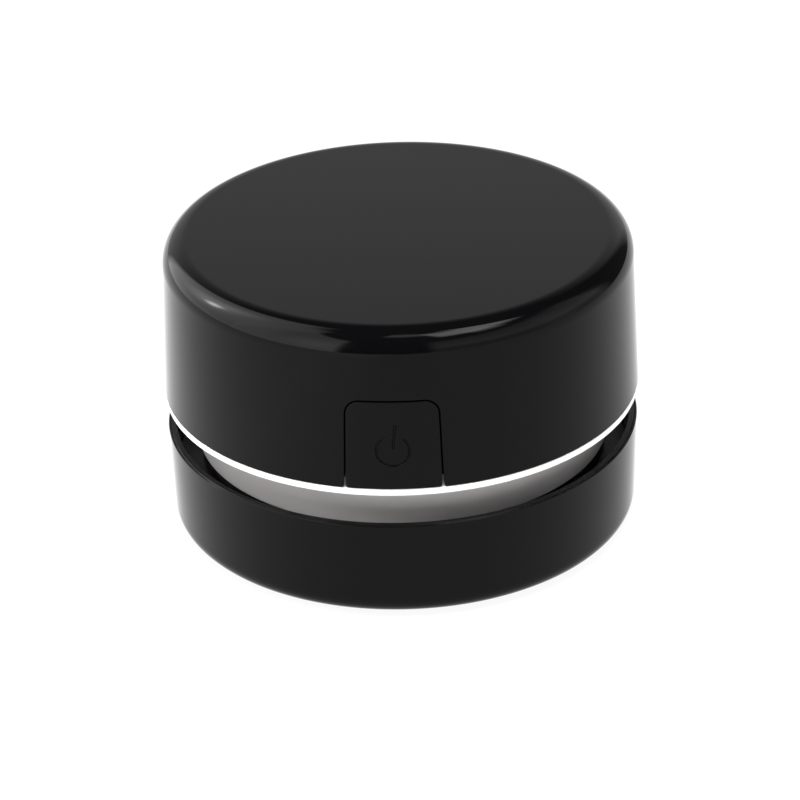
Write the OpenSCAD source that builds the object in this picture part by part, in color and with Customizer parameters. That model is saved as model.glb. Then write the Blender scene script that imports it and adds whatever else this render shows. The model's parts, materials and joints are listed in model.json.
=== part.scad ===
// Desktop mini vacuum cleaner: a round, battery driven table vacuum in separable sections.
// Millimetres, +Z up. The origin lies on the desk under the middle of the object, and the power key faces -Y.

/* [Body] */
// Radius of the top cover at its lower edge, and of the white flange under it
body_r = 42.5; // [40:0.5:48]
// Height of the glide feet under the dust cup
foot_h = 1.0; // [0.6:0.1:2]
// Play between pieces that lift, press or plug together
play = 0.1; // [0.05:0.05:0.2]

/* [Top cover] */
// Height of the top cover
cover_h = 28.6; // [26:0.2:36]
// Thickness of its side wall
cover_wall = 2.0; // [1.6:0.1:2.4]
// Thickness of its top
cover_top = 1.8; // [1.4:0.1:2.2]
// How far the wall leans in from the lower edge to the top
cover_draft = 1.05; // [0:0.05:1.4]
// Radius of the rounded upper edge
cover_round = 4.5; // [3.5:0.5:7]

/* [Power key] */
// Width of the key at its lower edge
key_w = 16.4; // [14:0.2:17.6]
// Height of the key
key_h = 16.2; // [14:0.1:18]
// How much each side of the key leans in towards its top
key_taper = 0.4; // [0:0.1:0.8]
// Radius of the key's upper corners
key_corner = 2.4; // [1:0.1:4]
// Width of the groove between the key and the cover
key_groove = 0.3; // [0.15:0.05:0.5]
// Thickness of the key's face plate
key_t = 2.0; // [1.4:0.1:2.4]
// How far the key can be pressed
key_travel = 1.2; // [0.6:0.1:1.4]
// Radius of the ring in the power mark
mark_r = 2.8; // [2.2:0.05:3.6]
// Height of the ring's middle over the key's lower edge
mark_h = 7.25; // [6.5:0.05:9]
// Width of the mark's engraved lines
mark_line = 0.35; // [0.2:0.05:0.8]
// Depth of the mark's engraved lines
mark_depth = 0.25; // [0.1:0.05:0.6]

/* [Gap and neck] */
// Open height between the rim of the dust cup and the white flange
air_gap = 6.1; // [4.8:0.1:9]
// Thickness of the flange and of the deck inside it
flange_t = 1.3; // [1.2:0.1:2]
// How far the neck stands in from the edge of the flange
neck_inset = 5.6; // [4.6:0.1:6.4]
// Wall of the neck
neck_wall = 1.4; // [1:0.1:1.6]
// How far the neck's lower edge lies below the rim of the dust cup
neck_drop = 2.9; // [0.6:0.1:3.2]

/* [Dust cup] */
// Height of the dust cup
cup_h = 17.9; // [17.4:0.1:26]
// How far its wall stands in from the cover's edge
cup_inset = 0.25; // [0.2:0.05:1]
// Thickness of its side wall
cup_wall = 1.5; // [1.2:0.05:1.7]
// Thickness of its floor
cup_floor = 1.8; // [1.4:0.1:2.2]
// How far the wall leans in from the rim to the floor
cup_draft = 0.45; // [0:0.05:0.8]
// Radius of its lower edge
cup_round = 2.75; // [1:0.25:3]
// Height of the rim ring
rim_h = 1.1; // [0.8:0.1:2]
// Width of the cup's own lip round the rim ring
rim_lip = 0.4; // [0.3:0.05:0.6]
// Depth of the trough between the neck and the rim
trough_depth = 6.9; // [6.5:0.1:7.4]
// Thickness of the collar ring that covers the bin's edge
collar_t = 1.4; // [1:0.1:1.8]
// Width of the seal between the bin and the head
seal_w = 1.6; // [1.2:0.1:2]
// How far the seal stands out of its groove
seal_rise = 0.8; // [0.5:0.1:1]
// Radius of a glide foot
foot_r = 3.5; // [2.5:0.1:4.5]
// How far the middle of a foot lies in from the cup's rim
foot_inset = 11.25; // [8:0.05:14]

/* [Nozzle and brush] */
// Radius of the suction mouth
mouth_r = 8.5; // [7:0.25:9.5]
// Wall of the nozzle
nozzle_wall = 1.2; // [0.9:0.1:1.5]
// Height of the nozzle's tube over the floor of the bin
nozzle_rise = 6.2; // [5.6:0.1:7]
// Width of the channel that holds the brush
brush_w = 4.3; // [3.6:0.1:5]
// Depth of the channel that holds the brush
brush_depth = 4.4; // [4:0.1:4.8]
// Thickness of the brush's base
brush_base_t = 1.2; // [0.8:0.1:1.6]
// Number of brush arcs round the mouth
brush_arcs = 4; // [3:1:6]
// Angle left open between two arcs
brush_gap = 22; // [12:1:30]
// Height of the bristle tips over the desk
tip_clear = 0.3; // [0.3:0.05:0.6]

/* [Fan and filter] */
// Height of the room for the fan between the inlet plate and the flange
fan_room = 6.8; // [6.4:0.1:7.4]
// Gap between the impeller's edge and the posts
fan_side = 3; // [1:0.1:6]
// Number of impeller blades
blades = 11; // [7:1:15]
// Thickness of an impeller blade
blade_t = 0.9; // [0.7:0.1:1.2]
// Gap between the impeller and the plates round it
fan_gap = 0.6; // [0.4:0.1:0.8]
// Radius of the air inlet under the impeller
inlet_r = 9; // [7:0.5:11]
// Thickness of the inlet plate
inlet_t = 1.2; // [1:0.1:1.6]
// Thickness of the fan base's flange
base_t = 1.8; // [1.4:0.1:2]
// Gap between the wall round the filter and the posts
filter_side = 1.8; // [0.6:0.1:4]
// Thickness of the filter screen
screen_t = 1.2; // [0.8:0.1:1.4]

/* [Motor] */
// Radius of the motor's round sides
motor_r = 10.05; // [9.6:0.05:10.4]
// Distance between the motor's flat sides
motor_flat = 15.1; // [14:0.1:15.6]
// Gap between the motor's strap and the cover's top
motor_top_gap = 1.3; // [1:0.1:4]
// Wall of the can
can_wall = 0.8; // [0.6:0.1:1]
// Length of the motor's end cap
cap_l = 4.5; // [4:0.1:4.6]
// Radius of the motor's shaft
shaft_r = 1.0; // [0.75:0.05:1.25]
// Radial clearance of the shaft in its bushes
bush_gap = 0.04; // [0.01:0.01:0.1]
// Length of the motor's front boss
boss_l = 1.5; // [1.2:0.1:1.6]

/* [Battery cells] */
// Radius of a cell
cell_r = 7.25; // [7:0.05:7.3]
// Length of a cell with its nub
cell_l = 50.5; // [49:0.1:51]
// Gap between a cell and the motor's socket
cell_side = 0.3; // [0.2:0.1:1.6]
// Height of the cells over the deck
cell_lift = 1.6; // [1.5:0.1:2.4]
// Length of a contact spring under a fitted cell
spring_l = 2.9; // [2.6:0.1:3.4]
// Thickness of the contact plates
contact_t = 0.4; // [0.3:0.05:0.6]

/* [Switch and board] */
// Width of the circuit board
board_w = 22.8; // [20:0.2:24]
// Height of the circuit board
board_h = 14.5; // [13:0.1:16]
// Thickness of the circuit board
board_t = 1.0; // [0.8:0.1:1.6]
// Width of the push switch
switch_w = 7.0; // [6:0.1:7.4]
// Depth of the push switch from the board to its front
switch_d = 3.8; // [3.4:0.1:4.6]
// Radius of the switch's plunger
plunger_r = 1.75; // [1.2:0.05:2]

/* [Screws and leads] */
// Radius of the screws' shanks
screw_r = 1.0; // [0.8:0.05:1.1]
// Length of a screw under its head
screw_l = 7; // [6:0.5:8]
// Radius of the screws' heads
head_r = 2.0; // [1.7:0.1:2.1]
// Height of the screws' heads
head_h = 1.3; // [1:0.1:1.4]
// Radius of the insulated leads
lead_r = 0.7; // [0.5:0.05:0.8]

/* [Hidden] */
$fn = 96;
// How far neighbouring shapes of one piece run into each other, and how far cuts run past a face
eps = 0.01;
over = 1;

// Heights, from the desk up
cup_z = foot_h;
bin_z = cup_z + cup_floor;
rim_z = cup_z + cup_h;
trough_z = rim_z - trough_depth;
neck_z = rim_z - neck_drop;
flange_z = rim_z + air_gap;
deck_z = flange_z + flange_t;
top_z = deck_z + cover_h;
seat_z = trough_z + seal_rise + play;
inlet_z = flange_z - fan_room;

// Dust cup
neck_r = body_r - neck_inset;
cup_r = body_r - cup_inset;
rim_seat_r = cup_r - rim_lip;
lip_edge = 0.15;
ring_edge = 0.25;
ring_inner_edge = 0.15;
ledge_w = 1.6;
inner_round = 1.6;
foot_seat = 0.3;
foot_count = 4;
foot_turn = 45;
foot_ring_r = cup_r - foot_inset;
function cup_r_at(z) = cup_r - cup_draft * (rim_z - z) / cup_h;
function cup_in_at(z) = cup_r_at(z) - cup_wall;

// Nozzle and brush
tube_r = mouth_r + nozzle_wall;
channel_r = tube_r + brush_w;
nozzle_r = channel_r + nozzle_wall;
nozzle_flange = 3;
mouth_lip = 0.2;
mouth_flare = 0.4;
mouth_flare_h = 0.8;
channel_z = cup_z + brush_depth;
brush_side = 0.1;
bristle_side = 0.5;

// Collar, seal and fan base
base_inset = 0.5;
base_r = neck_r - base_inset;
seal_margin = 0.2;
seal_out_r = base_r - seal_margin;
seal_in_r = seal_out_r - seal_w;
collar_lip = 0.4;
collar_in_r = seal_in_r - collar_lip;
seal_seat = 0.3;
spigot_t = 1.2;
spigot_l = 2.0;
step_wall = 1.4;
rib_r = neck_r - neck_wall - play;
post_r = 2.6;
post_inset = 1.0;
post_ring_r = rib_r - spigot_t - post_inset - post_r;
post_turn = 45;
post_count = 4;
filter_r = post_ring_r - post_r - filter_side - step_wall;
fan_r = post_ring_r - post_r - fan_side;
frame_rim = 2.2;
frame_play = 0.05;
frame_spokes = 6;
spoke_w = 1.4;
spoke_t = 1.2;
spoke_hub_r = 4;
screen_side = 0.3;

// Chassis
motor_sink = 0.4;
motor_z = deck_z - motor_sink;
boss_r = 3.1;
bush_r = 2.6;
bush_rise = 0.7;
socket_wall = 1.2;
socket_h = 11;
cover_spigot_t = 1.2;
cover_spigot_h = 2.0;
key_clear = 1.5;
strap_t = 0.8;
strap_w = 6;
strap_ear = 3.6;
strap_post_r = 2.4;
strap_post_h = 12;
strap_x = motor_r + play + strap_t + strap_ear;
can_l = cover_h - cover_top - motor_top_gap - strap_t - cap_l + motor_sink;
saddle_t = 1.6;
saddle_x = 13;
saddle_side = 1.2;
saddle_dip = 1;
end_wall_t = 1.4;
end_wall_h = 12.5;
end_wall_half = 6;
can_top = motor_z + can_l;
cap_top = can_top + cap_l;

// Battery bay
cell_y = motor_flat / 2 + play + socket_wall + cell_side + cell_r;
cell_edge = 0.4;
nub_l = 1.0;
nub_r = 2.75;
cell_z = deck_z + cell_lift + cell_r;
bay_half = (cell_l + spring_l) / 2 + contact_t;
bay_clear = 0.6;
bay_r = body_r - cover_wall - play - bay_clear;
contact_half = 4.5;
contact_low = 3;
contact_high = 14.5;
spring_wire_r = 0.25;
spring_turns = 3;
wire_sides = 6;
spring_wide_r = 3.8;
spring_narrow_r = 2.4;
RING_STEPS = 8;

// Fan and rotor
disc_t = 1.0;
boss_gap = 0.3;
disc_top = motor_z - boss_l - boss_gap;
blade_z = inlet_z + fan_gap;
blade_tip = 0.5;
blade_in_r = 9;
blade_sweep = 38;
blade_steps = 8;
hub_r = 4;
hub_drop = 0.3;
hub_low = inlet_z - hub_drop;
core_r = 6.6;
core_lift = 5;
core_z = motor_z + core_lift;
core_room = 5.6;
core_l = can_l - core_lift - core_room;
slot_r = 2.2;
slot_ring_r = 4.5;
slit_w = 1.0;
poles = 3;
winding_t = 1.8;
winding_gap = 0.2;
magnet_gap = 0.5;
magnet_over = 1;
magnet_x = 3;
commutator_r = 2.6;
commutator_l = 4.5;
cap_roof = 1.5;
cap_bore_r = 5.4;
cap_bore_l = cap_l - cap_roof;
brush_t = 2.0;
brush_h = 1.6;
brush_lift = 0.3;
shaft_sink = 0.6;

// Key, switch and board, measured inwards from the front of the body
key_room = 1.7;
bracket_front = body_r - key_t - key_travel - key_room;
bracket_t = 1.4;
bracket_back = bracket_front - bracket_t;
push_reach = 0.6;
plunger_tip = bracket_back - push_reach;
plunger_rest = 0.2;
plunger_in = 1.2;
plunger_l = key_travel + plunger_rest + plunger_in;
switch_front = plunger_tip - key_travel - plunger_rest;
switch_bore_l = plunger_in + key_travel + plunger_rest;
board_front = switch_front - switch_d;
board_back = board_front - board_t;
board_lift = 1.5;
board_z = deck_z + board_lift;
slot_depth = 1.5;
slot_wall = 1.0;
slot_over = 0.6;
key_z = deck_z + play;
key_mid = key_z + key_h / 2;
push_boss_r = 2.2;
push_window_r = push_boss_r + 0.4;
pin_r = 1.3;
pin_gap = 0.05;
pin_head_r = 1.8;
pin_head_l = 1.0;
pin_inset = 2.0;
pin_x = key_w / 2 - pin_inset;
bracket_edge = 3.2;
bracket_half = pin_x + bracket_edge;
bracket_h = key_mid + push_window_r + bracket_edge - deck_z;
key_root = 0.5;
mark_gap = 70;
mark_bar_low = 0.3;
mark_bar_high = 4.6;
mark_lean = 6;

// Leads: the points where they are soldered
tab_drop = 0.9;
tab_z = deck_z + contact_high - tab_drop;
terminal_x = 4;
terminal_l = 3.2;
terminal_w = 2.2;
terminal_t = 0.4;
terminal_hole_r = 0.5;
terminal_drop = 0.8;
terminal_z = cap_top - terminal_drop;
solder_gap = 0.2;
pad_x = 7;
pad_drop = 1.4;
pad_z = board_z + board_h - pad_drop;
lead_sides = 8;
lead_steps = 3;
// The leads' way points are counted in steps of this length
route_step = 1;

// Screw heads
recess_w = 0.5;
recess_half = 1.2;
recess_d = 0.7;

// ---- Shared helpers ----

function arc(c, r, a0, a1, n = 8) =
    [for (i = [0:n]) let (a = a0 + (a1 - a0) * i / n) c + r * [cos(a), sin(a)]];

function unit(v) = v / norm(v);
function heading(p, i) = unit(p[min(i + 1, len(p) - 1)] - p[max(i - 1, 0)]);
// One side vector for each point of a path, carried along without twist
function carried(p, i, s) =
    let (t = heading(p, i), v = unit(s - (s * t) * t))
    i == len(p) - 1 ? [v] : concat([v], carried(p, i + 1, v));

function spline_point(a, b, c, d, t) =
    0.5 * (2 * b + (c - a) * t + (2 * a - 5 * b + 4 * c - d) * t * t + (3 * b - a - 3 * c + d) * t * t * t);
function smooth(p, n) = concat(
    [for (i = [0:len(p) - 2]) for (k = [0:n - 1])
        spline_point(p[max(i - 1, 0)], p[i], p[i + 1], p[min(i + 2, len(p) - 1)], k / n)],
    [p[len(p) - 1]]);

module ring(r_out, r_in, low, high) {
    translate([0, 0, low])
        difference() {
            cylinder(r = r_out, h = high - low);
            translate([0, 0, -over]) cylinder(r = r_in, h = high - low + 2 * over);
        }
}

// A round tube along a path of points, closed at both ends
module tube(path, r, sides, side) {
    frames = carried(path, 0, side);
    last = len(path) - 1;
    points = [for (i = [0:last])
        let (u = frames[i], w = cross(heading(path, i), u))
        for (k = [0:sides - 1]) path[i] + r * (cos(360 * k / sides) * u + sin(360 * k / sides) * w)];
    walls = [for (i = [0:last - 1]) for (k = [0:sides - 1])
        let (n = (k + 1) % sides, a = i * sides, b = a + sides)
        each [[a + k, b + k, b + n], [a + k, b + n, a + n]]];
    near_end = [for (k = [1:sides - 2]) [0, k, k + 1]];
    far_end = [for (k = [1:sides - 2]) [last * sides, last * sides + k + 1, last * sides + k]];
    polyhedron(points = points, faces = concat(walls, near_end, far_end));
}

// A pan head screw with its head's seat at the origin and its shank pointing down
module screw(length) {
    difference() {
        union() {
            cylinder(r = head_r, h = head_h);
            translate([0, 0, -length]) cylinder(r = screw_r, h = length + eps);
        }
        for (turn = [0, 90])
            rotate([0, 0, turn])
                translate([-recess_half, -recess_w / 2, head_h - recess_d])
                    cube([2 * recess_half, recess_w, recess_d + over]);
    }
}

// The motor's outline: a circle with two flat sides, grown or shrunk by a margin
module motor_outline(margin) {
    intersection() {
        circle(r = motor_r + margin);
        square([3 * motor_r, motor_flat + 2 * margin], center = true);
    }
}

// ---- Dust cup and what stays on the desk ----

module dust_cup() {
    low_r = cup_r_at(cup_z + cup_round);
    in_r = cup_in_at(bin_z + inner_round);
    ledge_z = trough_z - collar_t;
    outline = concat(
        [[nozzle_r, cup_z]],
        arc([low_r - cup_round, cup_z + cup_round], cup_round, -90, 0),
        arc([cup_r - lip_edge, rim_z - lip_edge], lip_edge, 0, 90, 3),
        [
            [rim_seat_r, rim_z],
            [rim_seat_r, rim_z - rim_h],
            [cup_in_at(rim_z - rim_h), rim_z - rim_h],
            [cup_in_at(ledge_z), ledge_z],
            [cup_in_at(ledge_z) - ledge_w, ledge_z],
            [cup_in_at(ledge_z - ledge_w), ledge_z - ledge_w]
        ],
        arc([in_r - inner_round, bin_z + inner_round], inner_round, 0, -90, 5),
        [[nozzle_r, bin_z]]
    );
    color("#1a1a1b")
        difference() {
            rotate_extrude() polygon(outline);
            at_feet() translate([0, 0, -foot_h]) cylinder(r = foot_r, h = foot_h + foot_seat);
        }
}

module at_feet() {
    for (i = [0:foot_count - 1])
        rotate([0, 0, foot_turn + 360 * i / foot_count])
            translate([foot_ring_r, 0, cup_z])
                children();
}

// A trim ring that is let into the top of the wall, inside the cup's lip
module rim_ring() {
    low = rim_z - rim_h;
    in_r = cup_in_at(rim_z);
    outline = concat(
        [[cup_in_at(low), low], [rim_seat_r, low]],
        arc([rim_seat_r - ring_edge, rim_z - ring_edge], ring_edge, 0, 90, 3),
        arc([in_r + ring_inner_edge, rim_z - ring_inner_edge], ring_inner_edge, 90, 180, 3)
    );
    color("#202021") rotate_extrude() polygon(outline);
}

module glide_feet() {
    edge = 0.25;
    color("#3a3a3c")
        at_feet()
            translate([0, 0, -foot_h])
                rotate_extrude()
                    polygon([
                        [0, 0], [foot_r - edge, 0], [foot_r, edge], [foot_r, foot_h + foot_seat],
                        [0, foot_h + foot_seat]
                    ]);
}

module nozzle() {
    roof = channel_z + nozzle_wall;
    top = bin_z + nozzle_rise;
    outline = [
        [mouth_r + mouth_flare, cup_z + mouth_lip], [tube_r, cup_z + mouth_lip], [tube_r, channel_z],
        [channel_r, channel_z], [channel_r, cup_z], [nozzle_r, cup_z], [nozzle_r, bin_z],
        [nozzle_r + nozzle_flange, bin_z], [nozzle_r + nozzle_flange, bin_z + nozzle_wall],
        [nozzle_r, bin_z + nozzle_wall], [nozzle_r, roof], [tube_r, roof], [tube_r, top], [mouth_r, top],
        [mouth_r, cup_z + mouth_lip + mouth_flare_h]
    ];
    color("#232324") rotate_extrude() polygon(outline);
}

module brush_base() {
    color("#2d2d2f") ring(channel_r - brush_side, tube_r + brush_side, channel_z - brush_base_t, channel_z);
}

module brush_bristles() {
    in_r = tube_r + bristle_side;
    out_r = channel_r - bristle_side;
    sweep = 360 / brush_arcs - brush_gap;
    color("#4a4a4e")
        for (i = [0:brush_arcs - 1])
            rotate([0, 0, 360 * i / brush_arcs + brush_gap / 2])
                translate([0, 0, tip_clear])
                    rotate_extrude(angle = sweep)
                        translate([in_r, 0])
                            square([out_r - in_r, channel_z - brush_base_t - tip_clear]);
}

module collar_ring() {
    low = trough_z - collar_t;
    out_r = cup_in_at(low) - play;
    color("#161617")
        rotate_extrude()
            polygon([
                [collar_in_r, low], [out_r, low], [out_r, trough_z], [seal_out_r, trough_z],
                [seal_out_r, trough_z - seal_seat], [seal_in_r, trough_z - seal_seat], [seal_in_r, trough_z],
                [collar_in_r, trough_z]
            ]);
}

module seal_ring() {
    color("#58585c") ring(seal_out_r, seal_in_r, trough_z - seal_seat, trough_z + seal_rise);
}

// ---- Head: neck, fan base and filter ----

module neck_ring() {
    edge = 0.3;
    in_r = neck_r - neck_wall;
    color("#a9a9ad")
        rotate_extrude()
            polygon(concat(
                [[in_r, neck_z]],
                arc([neck_r - edge, neck_z + edge], edge, -90, 0, 3),
                [[neck_r, flange_z], [in_r, flange_z]]
            ));
}

module at_posts() {
    for (i = [0:post_count - 1])
        rotate([0, 0, post_turn + 360 * i / post_count])
            translate([post_ring_r, 0, 0])
                children();
}

module fan_base() {
    out_r = collar_in_r - play;
    step_r = filter_r + step_wall;
    outline = [
        [out_r - spigot_t, seat_z - spigot_l], [out_r, seat_z - spigot_l], [out_r, seat_z], [base_r, seat_z],
        [base_r, seat_z + base_t], [step_r, seat_z + base_t], [step_r, inlet_z], [inlet_r, inlet_z],
        [inlet_r, inlet_z - inlet_t], [filter_r, inlet_z - inlet_t], [filter_r, seat_z],
        [out_r - spigot_t, seat_z]
    ];
    post_z = seat_z + base_t / 2;
    color("#1c1c1d")
        difference() {
            union() {
                rotate_extrude() polygon(outline);
                at_posts() translate([0, 0, post_z]) cylinder(r = post_r, h = flange_z - post_z);
            }
            at_posts() translate([0, 0, deck_z - screw_l]) cylinder(r = screw_r, h = screw_l);
        }
}

module filter_frame() {
    out_r = filter_r - frame_play;
    in_r = out_r - frame_rim;
    top = inlet_z - inlet_t - screen_t;
    color("#2a2a2c") {
        ring(out_r, in_r, seat_z, top);
        difference() {
            union() {
                translate([0, 0, seat_z]) cylinder(r = spoke_hub_r, h = spoke_t);
                for (i = [0:frame_spokes - 1])
                    rotate([0, 0, 360 * i / frame_spokes])
                        translate([0, -spoke_w / 2, seat_z])
                            cube([in_r + frame_rim / 2, spoke_w, spoke_t]);
            }
            translate([0, 0, seat_z - over])
                cylinder(r = spoke_hub_r - spoke_w, h = spoke_t + 2 * over);
        }
    }
}

module filter_screen() {
    top = inlet_z - inlet_t;
    color("#d8d8d4") translate([0, 0, top - screen_t]) cylinder(r = filter_r - screen_side, h = screen_t);
}

// ---- Chassis ----

module flange_and_deck() {
    edge = 0.3;
    rotate_extrude()
        polygon(concat(
            [[0, flange_z]],
            arc([body_r - edge, flange_z + edge], edge, -90, 0, 3),
            arc([body_r - edge, deck_z - edge], edge, 0, 90, 3),
            [[0, deck_z]]
        ));
}

module cover_spigot() {
    out_r = cover_wall_at(deck_z + cover_spigot_h, cover_wall) - play;
    half = key_w / 2 + key_groove + key_clear;
    difference() {
        ring(out_r, out_r - cover_spigot_t, deck_z - eps, deck_z + cover_spigot_h);
        translate([-half, -body_r - over, deck_z]) cube([2 * half, body_r, cover_spigot_h + over]);
    }
}

module cell_saddles() {
    half = cell_r + saddle_side;
    difference() {
        for (x = [-1, 1])
            for (y = [-1, 1])
                translate([x * saddle_x - saddle_t / 2, y * cell_y - half, deck_z - eps])
                    cube([saddle_t, 2 * half, cell_z - saddle_dip - deck_z]);
        for (y = [-1, 1])
            translate([-cell_l / 2, y * cell_y, cell_z])
                rotate([0, 90, 0])
                    cylinder(r = cell_r + play, h = cell_l);
    }
}

module end_walls() {
    intersection() {
        for (x = [bay_half, -bay_half - end_wall_t])
            for (y = [-cell_y, cell_y])
                translate([x, y - end_wall_half, deck_z - eps])
                    cube([end_wall_t, 2 * end_wall_half, end_wall_h]);
        translate([0, 0, flange_z]) cylinder(r = bay_r, h = cover_h);
    }
}

module motor_socket() {
    translate([0, 0, deck_z - eps])
        linear_extrude(socket_h)
            difference() {
                motor_outline(play + socket_wall);
                motor_outline(play);
            }
    for (x = [-1, 1])
        translate([x * strap_x, 0, deck_z - eps])
            difference() {
                cylinder(r = strap_post_r, h = strap_post_h + eps);
                translate([0, 0, strap_post_h + strap_t - screw_l + eps])
                    cylinder(r = screw_r, h = screw_l + over);
            }
}

module key_bracket() {
    difference() {
        translate([-bracket_half, -bracket_front, deck_z - eps])
            cube([2 * bracket_half, bracket_t, bracket_h]);
        for (x = [-pin_x, pin_x])
            translate([x, -bracket_front - over, key_mid])
                rotate([-90, 0, 0])
                    cylinder(r = pin_r + pin_gap, h = bracket_t + 2 * over);
        translate([0, -bracket_front - over, key_mid])
            rotate([-90, 0, 0])
                cylinder(r = push_window_r, h = bracket_t + 2 * over);
    }
}

module board_slots() {
    height = board_z + board_h + slot_over - deck_z;
    for (left = [board_w / 2 - slot_depth, -board_w / 2 - slot_wall])
        difference() {
            translate([left, -board_front - slot_wall, deck_z - eps])
                cube([slot_depth + slot_wall, board_t + 2 * slot_wall, height]);
            translate([-board_w / 2 - play, -board_front - play, board_z])
                cube([board_w + 2 * play, board_t + 2 * play, height]);
        }
}

module chassis() {
    color("#f4f4f2")
        difference() {
            union() {
                flange_and_deck();
                ring(rib_r, rib_r - spigot_t, flange_z - spigot_l, flange_z + eps);
                cover_spigot();
                cell_saddles();
                end_walls();
                motor_socket();
                key_bracket();
                board_slots();
            }
            translate([0, 0, flange_z - over]) cylinder(r = boss_r + play, h = flange_t + 2 * over);
            translate([0, 0, motor_z]) linear_extrude(motor_sink + eps) motor_outline(play);
            at_posts()
                translate([0, 0, flange_z - over])
                    cylinder(r = screw_r + play, h = flange_t + 2 * over);
        }
}

module deck_screws() {
    color("#c9c9cc") at_posts() translate([0, 0, deck_z]) screw(screw_l);
}

// ---- Motor ----

module motor_can() {
    color("#b9babd")
        difference() {
            union() {
                translate([0, 0, motor_z]) linear_extrude(can_l) motor_outline(0);
                translate([0, 0, motor_z - boss_l]) cylinder(r = boss_r, h = boss_l + eps);
            }
            translate([0, 0, motor_z + can_wall]) linear_extrude(can_l) motor_outline(-can_wall);
            translate([0, 0, motor_z - boss_l - over])
                cylinder(r = bush_r, h = boss_l + can_wall + 2 * over);
        }
}

module motor_end_cap() {
    color("#f1ede2")
        difference() {
            translate([0, 0, can_top]) linear_extrude(cap_l) motor_outline(0);
            translate([0, 0, can_top - over]) cylinder(r = cap_bore_r, h = cap_bore_l + over);
            translate([0, 0, can_top]) cylinder(r = bush_r, h = cap_l + over);
        }
}

module motor_magnets() {
    out_r = motor_r - can_wall;
    in_r = core_r + magnet_gap;
    flat = motor_flat - 2 * (can_wall + play);
    low = core_z - magnet_over;
    long = core_l + 2 * magnet_over;
    color("#3b3b3f")
        intersection() {
            ring(out_r, in_r, low, low + long);
            for (x = [magnet_x, -magnet_x - out_r])
                translate([x, -flat / 2, low]) cube([out_r, flat, long]);
        }
}

module lower_bush() {
    color("#b58a4a") ring(bush_r, shaft_r + bush_gap, motor_z - boss_l, motor_z + can_wall + bush_rise);
}

module upper_bush() {
    color("#b58a4a") ring(bush_r, shaft_r + bush_gap, can_top + cap_bore_l, cap_top);
}

module carbon_brushes() {
    brush_front = commutator_r + bush_gap;
    color("#2b2b2e")
        for (turn = [0, 180])
            rotate([0, 0, turn])
                translate([brush_front, -brush_t / 2, can_top + brush_lift])
                    cube([cap_bore_r - brush_front - play, brush_t, brush_h]);
}

module motor_terminals() {
    color("#c8a24a")
        for (x = [-terminal_x, terminal_x])
            translate([x, -motor_flat / 2 - terminal_l, terminal_z])
                difference() {
                    translate([-terminal_w / 2, 0, 0]) cube([terminal_w, terminal_l, terminal_t]);
                    translate([0, terminal_w / 2, -over])
                        cylinder(r = terminal_hole_r, h = terminal_t + 2 * over);
                }
}

module motor_strap() {
    a = motor_r + play;
    b = a + strap_t;
    ear = strap_x + strap_post_r;
    low = deck_z + strap_post_h;
    top = cap_top + strap_t;
    color("#c3c4c8")
        difference() {
            translate([0, strap_w / 2, 0])
                rotate([90, 0, 0])
                    linear_extrude(strap_w)
                        polygon([
                            [a, low], [ear, low], [ear, low + strap_t], [b, low + strap_t], [b, top],
                            [-b, top], [-b, low + strap_t], [-ear, low + strap_t], [-ear, low],
                            [-a, low], [-a, cap_top], [a, cap_top]
                        ]);
            translate([0, 0, cap_top - over]) cylinder(r = boss_r + play, h = strap_t + 2 * over);
            for (x = [-strap_x, strap_x])
                translate([x, 0, low - over]) cylinder(r = screw_r + play, h = strap_t + 2 * over);
        }
}

module strap_screws() {
    color("#c9c9cc")
        for (x = [-strap_x, strap_x])
            translate([x, 0, deck_z + strap_post_h + strap_t]) screw(screw_l);
}

// ---- Rotor ----

module rotor_shaft() {
    color("#d4d5d8") translate([0, 0, hub_low]) cylinder(r = shaft_r, h = cap_top - shaft_sink - hub_low);
}

module armature_core() {
    color("#7d7f84")
        difference() {
            ring(core_r, shaft_r, core_z, core_z + core_l);
            for (i = [0:poles - 1])
                rotate([0, 0, 360 * i / poles]) {
                    translate([slot_ring_r, 0, core_z - over]) cylinder(r = slot_r, h = core_l + 2 * over);
                    translate([slot_ring_r, -slit_w / 2, core_z - over])
                        cube([core_r, slit_w, core_l + 2 * over]);
                }
        }
}

module armature_windings() {
    wire_r = slot_r - winding_gap;
    head_out_r = core_r - magnet_gap;
    head_in_r = shaft_r + 3 * winding_gap;
    color("#b4622d") {
        ring(head_out_r, head_in_r, core_z - winding_t, core_z);
        ring(head_out_r, head_in_r, core_z + core_l, core_z + core_l + winding_t);
        for (i = [0:poles - 1])
            rotate([0, 0, 360 * i / poles])
                translate([slot_ring_r, 0, core_z - winding_t / 2])
                    cylinder(r = wire_r, h = core_l + winding_t);
    }
}

module commutator() {
    color("#c07a3e") ring(commutator_r, shaft_r, can_top - commutator_l / 2, can_top + commutator_l / 2);
}

// One backward-leaning blade: a strip of even thickness along an arc
module blade_outline() {
    function lean(r) = -blade_sweep * (r - blade_in_r) / (fan_r - blade_in_r);
    radii = [for (i = [0:blade_steps]) blade_in_r + (fan_r - blade_tip - blade_in_r) * i / blade_steps];
    function middle(r) = r * [cos(lean(r)), sin(lean(r))];
    front = [for (r = radii) middle(r) + [0, blade_t / 2]];
    back = [for (i = [blade_steps:-1:0]) middle(radii[i]) - [0, blade_t / 2]];
    polygon(concat(front, back));
}

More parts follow.
